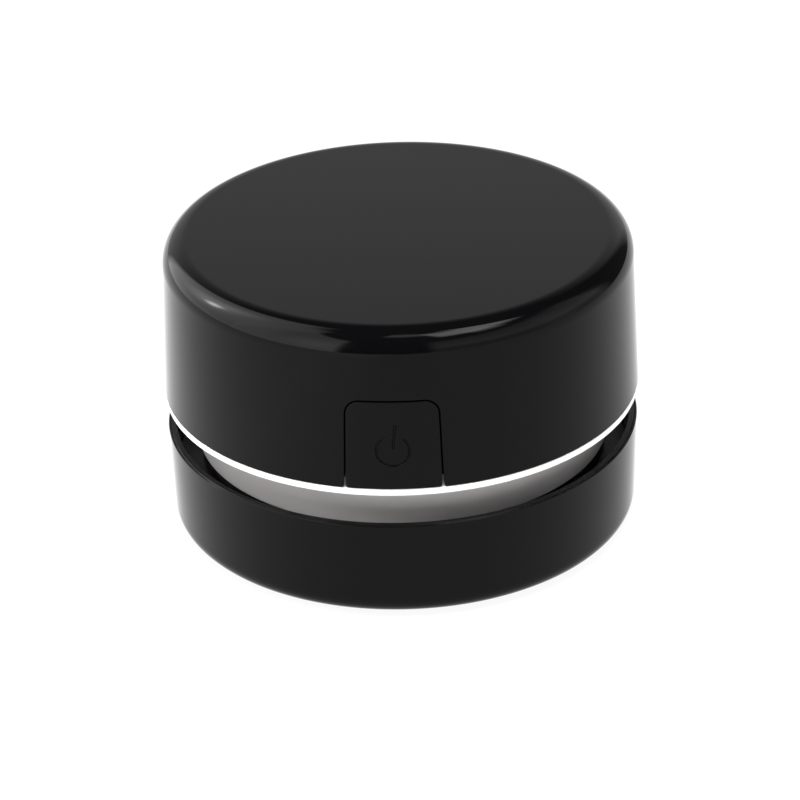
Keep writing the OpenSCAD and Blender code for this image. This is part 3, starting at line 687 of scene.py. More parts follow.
def board(f: Finish, g: Graph) -> bpy.types.Material:
    """Solder mask with traces that show through it and a scatter of tinned pads.

    Args:
        f: The finish.
        g: Its empty graph.

    Returns:
        The material.
    """
    face = g.place((1, 1, 1), (math.pi / 2, 0, 0))
    brick = {"Vector": face, "Scale": 1.0, "Mortar Size": 0.12 * MM, "Mortar Smooth": 0.1,
             "Brick Width": 3.1 * MM, "Row Height": 1.27 * MM}
    traces = g.add("ShaderNodeTexBrick", {"offset": 0.37}, brick, output="Fac")
    cells = g.add("ShaderNodeTexVoronoi", {"feature": "F1"}, {"Vector": g.place(), "Scale": 400})
    pads = 1 - cells.remap(0.16, 0.19)
    weave = g.noise(g.place((1, 12, 1)), 1500, 2.0)
    mask = g.blend(traces * 0.6 + weave * 0.15, linear(f.tone), linear("4f9257"))
    colour = g.blend(pads, mask, linear("bfc0bd"))
    return f.shader(g, colour, f.rough + weave * 0.08, g.bump(traces * 0.5 + pads * 0.5, f.depth))


def strand(f: Finish, g: Graph) -> bpy.types.Material:
    """Nylon strands whose tone differs from one to the next.

    Args:
        f: The finish.
        g: Its empty graph.

    Returns:
        The material.
    """
    each = g.noise(g.place((1, 1, 0.05)), 1800, 1.0)
    tone = linear(f.tone)
    colour = g.blend(each.remap(0.3, 0.7), tuple(0.55 * c for c in tone), tone)
    ribs = g.noise(g.place((1, 1, 0.3)), 6000, 2.0)
    return f.shader(g, colour, f.rough, g.bump(ribs, f.depth))


def coated(f: Finish, g: Graph) -> bpy.types.Material:
    """Extruded insulation, slightly uneven and scuffed.

    Args:
        f: The finish.
        g: Its empty graph.

    Returns:
        The material.
    """
    here = g.place()
    flow = g.noise(here, 900, 3.0)
    scuff = g.noise(here, 2400, 4.0).remap(0.58, 0.75)
    tone = linear(f.tone)
    colour = g.blend(flow * 0.3 + scuff * 0.2, tone, tuple(0.7 * c for c in tone))
    return f.shader(g, colour, f.rough + scuff * 0.15, g.bump(flow, f.depth))


FINISH_MAKERS: dict[Look, Callable[[Finish, Graph], bpy.types.Material]] = {
    Look.POLISHED: polished, Look.SATIN: satin, Look.FRAME: key_frame_painted_shade, Look.RUBBER: rubber, Look.FELT: felt,
    Look.BRUSHED: brushed, Look.TURNED: turned_metal, Look.SINTERED: sintered, Look.WOUND: wound,
    Look.WRAP: wrap, Look.BOARD: board, Look.STRAND: strand, Look.COATED: coated,
}
CELL_BAND = 16.5 * MM
CELL_LINE = 0.7 * MM
CELL_FILM_END = 25.2 * MM
# box of the painted shade behind the key: depth towards the front, half width, lowest height
PAINTED_SHADE_DEPTH = 37.3 * MM
PAINTED_SHADE_HALF = 10 * MM
PAINTED_SHADE_LOW = 26.5 * MM

FINISHES = {f.slot: f for f in (
    Finish("cover_black", Look.POLISHED, "070708", 0.05, gloss=0.08, depth=0.004 * MM),
    Finish("key_black", Look.POLISHED, "070708", 0.07, gloss=0.08, depth=0.003 * MM),
    Finish("cup_black", Look.POLISHED, "070708", 0.07, gloss=0.08, depth=0.004 * MM),
    Finish("rim_black", Look.POLISHED, "0b0b0c", 0.12, gloss=0.1, depth=0.003 * MM),
    # the chassis finish carries the painted shade behind the key
    Finish("chassis_white", Look.FRAME, "f4f4f3", 0.34, depth=0.006 * MM),
    Finish("neck_grey", Look.SATIN, "b9b6b5", 0.36, depth=0.008 * MM),
    Finish("foot_rubber", Look.RUBBER, "2b2b2d", 0.82, depth=0.03 * MM),
    Finish("inner_black", Look.SATIN, "121213", 0.48, gloss=0.3, depth=0.012 * MM),
    Finish("brush_backing", Look.SATIN, "222224", 0.6, depth=0.02 * MM),
    Finish("bristle_nylon", Look.STRAND, "4b4b50", 0.42, depth=0.01 * MM),
    Finish("seal_rubber", Look.RUBBER, "4c4c50", 0.75, depth=0.015 * MM),
    Finish("filter_felt", Look.FELT, "dcdcd6", 0.85, depth=0.12 * MM),
    Finish("fan_plastic", Look.SATIN, "e2e1dd", 0.4, depth=0.01 * MM),
    Finish("can_steel", Look.BRUSHED, "bcbdc0", 0.3, metal=1.0, depth=0.006 * MM),
    Finish("cap_nylon", Look.SATIN, "efe9dc", 0.45, depth=0.012 * MM),
    Finish("magnet_ferrite", Look.SINTERED, "45454a", 0.6, metal=0.4, depth=0.02 * MM),
    Finish("carbon", Look.SINTERED, "2c2c2f", 0.5, metal=0.2, depth=0.02 * MM),
    Finish("terminal_brass", Look.BRUSHED, "c9a558", 0.3, metal=1.0, depth=0.004 * MM),
    Finish("bush_bronze", Look.SINTERED, "b38a4c", 0.42, metal=1.0, depth=0.015 * MM),
    Finish("strap_steel", Look.BRUSHED, "c8c9cc", 0.26, metal=1.0, depth=0.005 * MM),
    Finish("screw_steel", Look.TURNED, "cdced1", 0.24, metal=1.0, depth=0.005 * MM),
    Finish("shaft_steel", Look.TURNED, "d2d3d6", 0.18, metal=1.0, depth=0.003 * MM),
    Finish("core_steel", Look.TURNED, "85878c", 0.4, metal=1.0, depth=0.02 * MM),
    Finish("winding_copper", Look.WOUND, "b8632d", 0.28, metal=0.9, depth=0.08 * MM),
    Finish("commutator_copper", Look.TURNED, "c98350", 0.3, metal=1.0, depth=0.006 * MM),
    Finish("cell_wrap", Look.WRAP, "26282b", 0.22, depth=0.02 * MM),
    Finish("contact_nickel", Look.BRUSHED, "d0cfcc", 0.22, metal=1.0, depth=0.004 * MM),
    Finish("board_green", Look.BOARD, "1e6a33", 0.32, depth=0.04 * MM),
    Finish("switch_black", Look.SATIN, "1d1d1f", 0.42, depth=0.012 * MM),
    Finish("plunger_white", Look.SATIN, "dededa", 0.4, depth=0.01 * MM),
    Finish("lead_red", Look.COATED, "a01c1c", 0.38, depth=0.01 * MM),
    Finish("lead_black", Look.COATED, "1f1f21", 0.38, depth=0.01 * MM),
)}


# ---------------------------------------------------------------- wall and key outline


@dataclass(frozen=True)
class CoverWall:
    """The leaning outer wall that the cover and the key share."""

    radius: float
    low: float
    top: float
    draft: float = 1.05 * MM

    def at(self, height: float, depth: float = 0.0) -> float:
        """Radius of the wall at a height, less a depth below its surface."""
        return self.radius - depth - self.draft * (height - self.low) / (self.top - self.low)

    def point(self, x: float, height: float, depth: float) -> Vector:
        """Point on the front of the wall, at a depth below its surface."""
        r = self.at(height, depth)
        return on_circle(math.asin(x / r), r, height)


@dataclass(frozen=True)
class KeyOutline:
    """Outline of the key and, grown by a margin, of its notch: leaning sides and round upper corners."""

    low: float
    top: float
    half: float = 8.2 * MM
    taper: float = 0.4 * MM
    corner: float = 2.4 * MM
    corner_steps: int = 10

    @property
    def arc_x(self) -> float:
        """How far the middles of the upper corners lie from the middle of the key."""
        return self.half - self.taper - self.corner

    @property
    def arc_z(self) -> float:
        """Height of the middles of the upper corners."""
        return self.top - self.corner

    def levels(self, margin: float, foot: float, flare: float, sides: Sequence[float]) -> list[Pair]:
        """Half width and height of the outline, from its foot to its top edge.

        Args:
            margin: How far the outline is grown.
            foot: Height of its lower edge.
            flare: Rounding at the lower edge, outwards if above 0 and inwards if below.
            sides: Heights of the points on the straight sides.

        Returns:
            Pairs of half width and height.
        """
        reach = abs(flare)
        rows = []
        for turn in spread(0, math.pi / 2, 6):
            height = foot + reach * (1 - math.cos(turn))
            rows.append((self._side(height, margin) + flare * (1 - math.sin(turn)), height))
        rows += [(self._side(z, margin), z) for z in sides]
        for turn in spread(0, math.pi / 2, self.corner_steps):
            size = self.corner + margin
            rows.append((self.arc_x + size * math.cos(turn), self.arc_z + size * math.sin(turn)))
        return rows

    def _side(self, height: float, margin: float) -> float:
        """Half width on the straight sides."""
        return self.half + margin - self.taper * (height - self.low) / (self.arc_z - self.low)


def edge_steps(rounding: float, depth: float, steps: int = 6) -> list[Pair]:
    """Steps over a rounded edge and down the wall behind it.

    Args:
        rounding: Radius of the edge.
        depth: Depth at which the wall ends.
        steps: Steps in the rounding.

    Returns:
        Pairs of depth below the surface and setback from the wall behind the edge.
    """
    turns = spread(0, math.pi / 2, steps)
    over = [(rounding * (1 - math.cos(t)), rounding * (1 - math.sin(t))) for t in turns]
    return over + [(d, 0.0) for d in spread(rounding * 1.3, depth, 3)]


# ---------------------------------------------------------------- sub-assemblies


@dataclass
class TopCover:
    """The black shell over the works, with the notch for the key."""

    wall: CoverWall
    outline: KeyOutline
    foot: float
    thick: float = 2.0 * MM
    roof: float = 1.8 * MM
    shoulder: float = 4.5 * MM
    edge: float = 0.05 * MM
    groove: float = 0.3 * MM
    flare: float = 0.45 * MM
    fixed_from: float = 13.0 * MM
    near_steps: int = 12
    round_steps: int = 300
    top_steps: int = 20
    sheet: Sheet = field(default_factory=Sheet)

    def _row(self, half: float, height: float, depth: float) -> list[int]:
        """Points round the wall, from the right side of the notch to its left side.

        Args:
            half: Half width of the notch at this height.
            height: The height.
            depth: Depth below the outer surface.

        Returns:
            Numbers of the vertices.
        """
        r = self.wall.at(height, depth)
        start, fixed = math.asin(half / r), math.asin(self.fixed_from / self.wall.radius)
        near = spread(start, fixed, self.near_steps)
        far = spread(fixed, math.tau - fixed, self.round_steps)
        angles = near + far[1:-1] + [math.tau - a for a in reversed(near)]
        return self.sheet.row([on_circle(a, r, height) for a in angles])

    def _dome(self, ring: list[int], profile: Sequence[Pair], height: float) -> None:
        """Closes a ring over the top.

        Args:
            ring: Vertex numbers of the full ring above the notch.
            profile: Radius and height of each further ring.
            height: Height of the middle of the top.
        """
        angles = [math.atan2(self.sheet.points[i].x, -self.sheet.points[i].y) for i in ring]
        for r, z in profile:
            nxt = self.sheet.row([on_circle(a, r, z) for a in angles])
            self.sheet.bridge(ring, nxt, closed=True)
            ring = nxt
        self.sheet.fan(ring, Vector((0, 0, height)))

    def _over_shoulder(self, from_z: float, top: float, depth: float, rounding: float,
                       steps: int) -> list[Pair]:
        """Profile from the wall over the rounded shoulder to the middle of the top.

        Args:
            from_z: Height where the wall starts.
            top: Height of the top.
            depth: Depth of this skin below the outer surface.
            rounding: Radius of the shoulder.
            steps: Steps in the shoulder.

        Returns:
            Pairs of radius and height.
        """
        lean = math.atan(self.wall.draft / (self.wall.top - self.wall.low))
        centre_z = top - rounding
        centre_r = self.wall.at(centre_z, depth) - rounding / math.cos(lean)
        wall_top = centre_z + rounding * math.sin(lean)
        rows = [(self.wall.at(z, depth), z) for z in spread(from_z, wall_top - 0.1 * MM, 8)[1:]]
        for turn in spread(lean, math.pi / 2, steps):
            rows.append((centre_r + rounding * math.cos(turn), centre_z + rounding * math.sin(turn)))
        return rows + [(centre_r * share, top) for share in (0.995, 0.97, 0.85, 0.6, 0.3, 0.08)]

    def build(self) -> None:
        """Builds the shell as one closed mesh: outer and inner skin, lower edge and walls of the notch."""
        foot = self.foot
        sides = spread(foot + self.edge + self.flare + 0.3 * MM, self.outline.arc_z - 0.3 * MM, 12)
        steps = edge_steps(self.edge, self.thick)
        chains, feet, skins = [], [], {}
        for i, (depth, setback) in enumerate(steps):
            levels = self.outline.levels(self.groove + setback, foot + setback, self.flare, sides)
            whole = i in (0, len(steps) - 1)
            if whole:
                rows = [self._row(x, z, depth) for x, z in levels]
            else:
                rows = [self._row(*levels[0], depth)]
                rows += [self.sheet.row([self.wall.point(x, z, depth), self.wall.point(-x, z, depth)])
                         for x, z in levels[1:]]
            half, top = levels[-1]
            across = spread(half, -half, self.top_steps)[1:-1]
            lintel = self.sheet.row([self.wall.point(x, top, depth) for x in across])
            chains.append([r[0] for r in rows] + lintel + [r[-1] for r in reversed(rows)])
            feet.append(rows[0])
            if whole:
                skins[i] = (rows, lintel)
        for a, b in zip(chains, chains[1:]):
            self.sheet.bridge(a, b)
        for a, b in zip(feet, feet[1:]):
            self.sheet.bridge(a, b)
        for i, (rows, lintel) in skins.items():
            for a, b in zip(rows, rows[1:]):
                self.sheet.bridge(a, b)
            outer = i == 0
            depth = 0.0 if outer else self.thick
            top = self.wall.top - (0.0 if outer else self.roof)
            rounding = self.shoulder - depth
            notch_top = self.sheet.points[rows[-1][0]].z
            profile = self._over_shoulder(notch_top, top, depth, rounding, 26 if outer else 12)
            self._dome(rows[-1] + list(reversed(lintel)), profile, top)
        data = self.sheet.mesh("cover_shell")
        piece("cover_shell", data, "top_cover", ["top_cover"], FINISHES["cover_black"])


@dataclass
class PowerKey:
    """The power key: a curved plate with the engraved mark, its push boss and two guide pins."""

    wall: CoverWall
    outline: KeyOutline
    thick: float = 2.0 * MM
    edge: float = 0.06 * MM
    flare: float = -0.5 * MM
    mark_up: float = 7.25 * MM
    mark_radius: float = 2.8 * MM
    mark_line: float = 0.35 * MM
    mark_depth: float = 0.25 * MM
    mark_gap: float = math.radians(70)
    mark_bar: Pair = (0.3 * MM, 4.6 * MM)
    mark_lean: float = math.radians(6)
    boss_radius: float = 2.2 * MM
    pin_inset: float = 2.0 * MM
    pin_radius: float = 1.3 * MM
    pin_foot: float = 1.0 * MM
    pin_foot_radius: float = 1.8 * MM
    fine: float = 0.07 * MM
    sheet: Sheet = field(default_factory=Sheet)

    def _groove_distance(self, x: float, z: float) -> float:
        """Distance from a point on the face to the nearest line of the mark.

        Args:
            x: Place across the face.
            z: Height.

        Returns:
            The distance to the middle of the line.
        """
        up = z - self.outline.low - self.mark_up
        c, s = math.cos(self.mark_lean), math.sin(self.mark_lean)
        u, v = c * x - s * up, s * x + c * up
        angle = math.atan2(u, v)
        if abs(angle) > self.mark_gap / 2:
            ring = abs(math.hypot(u, v) - self.mark_radius)
        else:
            end = math.copysign(self.mark_gap / 2, angle)
            ring = math.hypot(u - self.mark_radius * math.sin(end), v - self.mark_radius * math.cos(end))
        low, high = self.mark_bar
        bar = math.hypot(u, v - min(max(v, low), high))
        return min(ring, bar)

    def _engraved(self, x: float, z: float) -> float:
        """Depth of the mark at a point on the face."""
        slope = 0.1 * MM
        share = (self.mark_line / 2 + slope / 2 - self._groove_distance(x, z)) / slope
        share = min(max(share, 0.0), 1.0)
        return self.mark_depth * share * share * (3 - 2 * share)

    def _face(self, levels: Sequence[Pair], columns: Sequence[float], depth: float,
              marked: bool) -> list[list[int]]:
        """A grid over the face.

        Args:
            levels: Half width and height of each row.
            columns: Places across a row, from -1 to 1.
            depth: Depth below the outer surface.
            marked: Whether the mark is cut in.

        Returns:
            Vertex numbers, row by row.
        """
        rows = []
        for half, z in levels:
            cut = [self._engraved(half * u, z) if marked else 0.0 for u in columns]
            points = [self.wall.point(half * u, z, depth + c) for u, c in zip(columns, cut)]
            rows.append(self.sheet.row(points))
        return rows

    @staticmethod
    def _rim(rows: list[list[int]]) -> list[int]:
        """Vertices round the border of a grid, in order."""
        right = [r[-1] for r in rows[1:]]
        left = [r[0] for r in rows[-2:0:-1]]
        return rows[0] + right + rows[-1][-2::-1] + left

    def _rods(self) -> None:
        """Adds the push boss and the guide pins behind the plate."""
        inner_end = -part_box("power_key")[1].y
        middle = (self.outline.low + self.outline.top) / 2
        root = self.wall.radius - self.thick + 0.4 * MM
        plunger_end = -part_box("switch_plunger")[0].y
        pins = [(0.0, self.boss_radius, plunger_end, 0.15 * MM)]
        for side in (-1, 1):
            x = side * (self.outline.half - self.pin_inset)
            pins.append((x, self.pin_radius, inner_end + self.pin_foot, 0.0))
            pins.append((x, self.pin_foot_radius, inner_end, 0.2 * MM))
        for x, radius, end, rounding in pins:
            start = inner_end + self.pin_foot if radius == self.pin_foot_radius else root
            length = start - end
            profile = softened([(0, 0, 0), (radius, 0, 0), (radius, length, rounding), (0, length, 0)], 4)
            place = Matrix.Translation((x, -start, middle)) @ Matrix.Rotation(-math.pi / 2, 4, "X")
            self.sheet.add(turned(profile, 40), place)

    def build(self) -> None:
        """Builds the key as one mesh."""
        foot = self.outline.low
        mark_low = foot + self.mark_up - self.mark_radius - 0.5 * MM
        mark_high = foot + self.mark_up + self.mark_bar[1] + 0.5 * MM
        first = foot + self.edge - self.flare + 0.1 * MM
        fine_rows = spread(mark_low, mark_high, round((mark_high - mark_low) / self.fine))
        sides = spread(first, mark_low, 6)[:-1] + fine_rows + spread(mark_high, self.outline.arc_z, 3)[1:-1]
        reach = (self.mark_radius + 0.6 * MM) / self.outline.half
        fine_columns = spread(-reach, reach, round(2 * reach * self.outline.half / self.fine))
        side_columns = spread(-1, -reach, 9)[:-1]
        columns = side_columns + fine_columns + [-u for u in reversed(side_columns)]
        rims = []
        steps = edge_steps(self.edge, self.thick)
        for i, (depth, setback) in enumerate(steps):
            levels = self.outline.levels(-setback, foot + setback, self.flare, sides)
            if i in (0, len(steps) - 1):
                rows = self._face(levels, columns, depth, marked=i == 0)
                for a, b in zip(rows, rows[1:]):
                    self.sheet.bridge(a, b)
                rims.append(self._rim(rows))
            else:
                rows = [[(u * levels[0][0], levels[0][1]) for u in columns]]
                rows += [[(-x, z), (x, z)] for x, z in levels[1:-1]]
                rows += [[(u * levels[-1][0], levels[-1][1]) for u in columns]]
                rims.append(self.sheet.row([self.wall.point(x, z, depth) for x, z in self._rim(rows)]))
        for a, b in zip(rims, rims[1:]):
            self.sheet.bridge(a, b, closed=True)
        self._rods()
        piece("key_plate", self.sheet.mesh("key_plate"), "power_key", ["power_key"], FINISHES["key_black"])


@dataclass
class Shells:
    """The turned shells in and under the gap: neck, rim ring and dust cup."""

    segments: int = 320
    cup_wall: float = 1.5 * MM
    cup_floor: float = 1.8 * MM
    cup_draft: float = 0.45 * MM
    cup_round: float = 2.75 * MM
    cup_inner_round: float = 1.6 * MM
    ledge: float = 1.6 * MM
    trough: float = 6.9 * MM
    collar: float = 1.4 * MM
    nozzle_radius: float = 15.2 * MM
    neck_wall: float = 1.4 * MM
    neck_edge: float = 0.3 * MM
    small_edge: float = 0.1 * MM
    seat_edge: float = 0.05 * MM
    lip_edge: float = 0.15 * MM
    ring_edge: float = 0.25 * MM
    ring_inner_edge: float = 0.15 * MM

    def _turn(self, name: str, corners: Sequence[tuple[float, float, float]], body: str, node: str,
              slot: str) -> None:
        """Turns one shell.

        Args:
            name: Name of the piece.
            corners: Radius, height and rounding of each corner of its section.
            body: Body that it moves with.
            node: Node that it replaces.
            slot: Slot of its finish.
        """
        sheet = turned(softened(corners), self.segments)
        piece(name, sheet.mesh(name), body, [node], FINISHES[slot])

    def neck(self) -> None:
        """Builds the grey sleeve in the gap."""
        low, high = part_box("neck_ring")
        out = high.x
        inner = out - self.neck_wall
        corners = [
            (inner, low.z, self.neck_edge / 2), (out, low.z, self.neck_edge),
            (out, high.z, 0), (inner, high.z, 0),
        ]
        self._turn("neck_sleeve", corners, "power_head", "neck_ring", "neck_grey")

    def cup_wall_at(self, height: float, depth: float = 0.0) -> float:
        """Radius of the cup's leaning wall at a height, less a depth below its surface."""
        low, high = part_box("dust_cup")
        return high.x - depth - self.cup_draft * (high.z - height) / (high.z - low.z)

    def rim(self) -> None:
        """Builds the trim ring that is let into the top of the cup's wall."""
        low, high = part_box("rim_ring")
        inner_low, inner_high = (self.cup_wall_at(z, self.cup_wall) for z in (low.z, high.z))
        corners = [
            (inner_low, low.z, 0), (high.x, low.z, 0), (high.x, high.z, self.ring_edge),
            (inner_high, high.z, self.ring_inner_edge),
        ]
        self._turn("rim_band", corners, "dust_base", "rim_ring", "rim_black")

    def cup(self) -> None:
        """Builds the dust cup."""
        low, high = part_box("dust_cup")
        ring_low, ring_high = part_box("rim_ring")
        shelf = high.z - self.trough - self.collar
        floor = low.z + self.cup_floor
        under = shelf - self.ledge
        inside = {z: self.cup_wall_at(z, self.cup_wall) for z in (ring_low.z, shelf, under, floor)}
        corners = [
            (self.nozzle_radius, low.z, 0), (self.cup_wall_at(low.z), low.z, self.cup_round),
            (high.x, high.z, self.lip_edge), (ring_high.x, high.z, self.seat_edge),
            (ring_high.x, ring_low.z, 0), (inside[ring_low.z], ring_low.z, 0), (inside[shelf], shelf, 0),
            (inside[shelf] - self.ledge, shelf, self.small_edge), (inside[under], under, 0),
            (inside[floor], floor, self.cup_inner_round), (self.nozzle_radius, floor, 0),
        ]
        self._turn("cup_shell", corners, "dust_base", "dust_cup", "cup_black")

    def build(self) -> None:
        """Builds the three shells."""
        self.neck()
        self.rim()
        self.cup()


# ---------------------------------------------------------------- geometry nodes


class Recipe:
    """A geometry node tree with named inputs, and the call that runs it once and keeps the plain mesh."""

    def __init__(self, name: str, inputs: dict[str, tuple[str, Any]]) -> None:
        """Starts a tree.

        Args:
            name: Name of the tree.
            inputs: Type and value of each input, by name.
        """
        self.tree = bpy.data.node_groups.new(name, "GeometryNodeTree")
        self.values = {}
        self.tree.interface.new_socket("Geometry", in_out="INPUT", socket_type="NodeSocketGeometry")
        for key, (kind, value) in inputs.items():
            socket = self.tree.interface.new_socket(key, in_out="INPUT", socket_type="NodeSocket" + kind)
            self.values[key] = (socket.identifier, value)
        self.tree.interface.new_socket("Geometry", in_out="OUTPUT", socket_type="NodeSocketGeometry")
        self.given = self.tree.nodes.new("NodeGroupInput")

    def ask(self, key: str) -> bpy.types.NodeSocket:
        """The tree's input of that name."""
        return self.given.outputs[key]

    def node(self, kind: str, settings: dict[str, Any] | None = None, inputs: dict[Any, Any] | None = None,
             output: int | str = 0) -> bpy.types.NodeSocket:
        """Adds one node.

        Args:
            kind: Type name of the node.
            settings: Its properties, which are set first.
            inputs: Values or sockets for its inputs, by name or number.
            output: Which output to return.

        Returns:
            The chosen output.
        """
        node = self.tree.nodes.new(kind)
        for key, value in (settings or {}).items():
            setattr(node, key, value)
        for key, value in (inputs or {}).items():
            if isinstance(value, bpy.types.NodeSocket):
                self.tree.links.new(value, node.inputs[key])
            else:
                node.inputs[key].default_value = value
        return node.outputs[output]

    def sum(self, operation: str, a: Any, b: Any = 0.0) -> bpy.types.NodeSocket:
        """A Math node."""
        return self.node("ShaderNodeMath", {"operation": operation}, {0: a, 1: b})

    def circle_point(self, angle: Any, radius: Any, height: Any) -> bpy.types.NodeSocket:
        """A point at an angle counted from +X, as a vector.

        Args:
            angle: The angle in radians.
            radius: Distance from the axis.
            height: Height.

        Returns:
            The vector.
        """
        x = self.sum("MULTIPLY", self.sum("COSINE", angle), radius)
        y = self.sum("MULTIPLY", self.sum("SINE", angle), radius)
        return self.node("ShaderNodeCombineXYZ", None, {0: x, 1: y, 2: height})

    def random(self, low: Any, high: Any, seed: int, vector: bool = False) -> bpy.types.NodeSocket:
        """A random value for each element, with a fixed seed.

        Args:
            low: Lowest value.
            high: Highest value.
            seed: The seed.
            vector: Whether it is a vector.

        Returns:
            The value.
        """
        kind = "FLOAT_VECTOR" if vector else "FLOAT"
        node = self.tree.nodes.new("FunctionNodeRandomValue")
        node.data_type = kind
        shown = [s for s in node.inputs if s.enabled]
        shown[0].default_value, shown[1].default_value = low, high
        node.inputs["Seed"].default_value = seed
        return next(s for s in node.outputs if s.enabled)

    def run(self, geometry: bpy.types.NodeSocket, finish: Finish,
            path: bpy.types.Mesh | None = None) -> bpy.types.Mesh:
        """Ends the tree, runs it on a mesh and returns the result.

        Args:
            geometry: The geometry that the tree ends with.
            finish: Finish of the result.
            path: Mesh that the tree starts from, if it needs one.

        Returns:
            The plain mesh.
        """
        real = self.node("GeometryNodeRealizeInstances", None, {0: geometry})
        smooth = self.node("GeometryNodeSetShadeSmooth", None, {0: real})
        dressed = self.node("GeometryNodeSetMaterial", None, {0: smooth, "Material": finish.material()})
        out = self.tree.nodes.new("NodeGroupOutput")
        self.tree.links.new(dressed, out.inputs[0])
        base = path or bpy.data.meshes.new(self.tree.name + "_base")
        holder = bpy.data.objects.new(self.tree.name, base)
        bpy.context.scene.collection.objects.link(holder)
        modifier = holder.modifiers.new("recipe", "NODES")
        modifier.node_group = self.tree
        for identifier, value in self.values.values():
            modifier[identifier] = value
        graph = bpy.context.evaluated_depsgraph_get()
        made = bpy.data.meshes.new_from_object(holder.evaluated_get(graph), depsgraph=graph)
        holder.modifiers.clear()
        bpy.data.objects.remove(holder)
        return made


@dataclass
class Brush:
    """The ring of bristle arcs round the suction mouth."""

    arcs: int = 4
    arc_gap: float = math.radians(22)
    inner: float = 10.2 * MM
    outer: float = 13.5 * MM
    along: int = 52
    rows: int = 12
    root_radius: float = 0.085 * MM
    tip_radius: float = 0.06 * MM
    lean: float = math.radians(5)

    def build(self) -> None:
        """Plants the bristles and keeps them as one mesh."""
        low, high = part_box("brush_bristles")
        sweep = math.tau / self.arcs - self.arc_gap
        recipe = Recipe("bristles", {
            "Inner Radius": ("Float", self.inner), "Outer Radius": ("Float", self.outer),
            "Sweep": ("Float", sweep), "Root Height": ("Float", high.z + 0.2 * MM),
            "Length": ("Float", high.z - low.z + 0.1 * MM), "Arcs": ("Int", self.arcs),
        })
        field_grid = recipe.node("GeometryNodeMeshGrid", None, {
            "Size X": 1.0, "Size Y": 1.0, "Vertices X": self.along, "Vertices Y": self.rows})
        spot = recipe.node("GeometryNodeInputPosition")
        part = recipe.tree.nodes.new("ShaderNodeSeparateXYZ")
        recipe.tree.links.new(spot, part.inputs[0])
        jitter = recipe.random(-0.25, 0.25, 3)
        jitter_out = recipe.random(-0.25, 0.25, 5)
        share = recipe.sum("ADD", part.outputs["X"], recipe.sum("DIVIDE", jitter, self.along))
        angle = recipe.sum("MULTIPLY", recipe.sum("ADD", share, 0.5), recipe.ask("Sweep"))
        outwards = recipe.sum("ADD", part.outputs["Y"], recipe.sum("DIVIDE", jitter_out, self.rows))
        width = recipe.sum("SUBTRACT", recipe.ask("Outer Radius"), recipe.ask("Inner Radius"))
        radius = recipe.sum("ADD", recipe.ask("Inner Radius"),
                            recipe.sum("MULTIPLY", recipe.sum("ADD", outwards, 0.5), width))
        place = recipe.circle_point(angle, radius, recipe.ask("Root Height"))
        planted = recipe.node("GeometryNodeSetPosition", None, {0: field_grid, "Position": place})
        strand_mesh = recipe.node("GeometryNodeMeshCone", {"fill_type": "TRIANGLE_FAN"}, {
            "Vertices": 6, "Side Segments": 2, "Depth": recipe.ask("Length"),
            "Radius Top": self.root_radius, "Radius Bottom": self.tip_radius})
        below = recipe.sum("MULTIPLY", recipe.ask("Length"), -1.0)
        down = recipe.node("ShaderNodeCombineXYZ", None, {2: below})
        hung = recipe.node("GeometryNodeTransform", None, {0: strand_mesh, "Translation": down})
        tilt = recipe.random((-self.lean, -self.lean, 0.0), (self.lean, self.lean, math.tau), 11, vector=True)
        scale = recipe.random((1.0, 1.0, 0.93), (1.0, 1.0, 1.0), 17, vector=True)
        arc = recipe.node("GeometryNodeInstanceOnPoints", None, {
            "Points": planted, "Instance": hung, "Rotation": tilt, "Scale": scale})
        arc_real = recipe.node("GeometryNodeRealizeInstances", None, {0: arc})
        dots = recipe.node("GeometryNodePoints", None, {"Count": recipe.ask("Arcs")})
        number = recipe.node("GeometryNodeInputIndex")
        step = recipe.sum("ADD", recipe.sum("MULTIPLY", number, math.tau / self.arcs), self.arc_gap / 2)
        turn = recipe.node("ShaderNodeCombineXYZ", None, {2: step})
        ring = recipe.node("GeometryNodeInstanceOnPoints", None, {
            "Points": dots, "Instance": arc_real, "Rotation": turn})
        data = recipe.run(ring, FINISHES["bristle_nylon"])
        piece("bristles", data, "dust_base", ["brush_bristles"], FINISHES["bristle_nylon"])


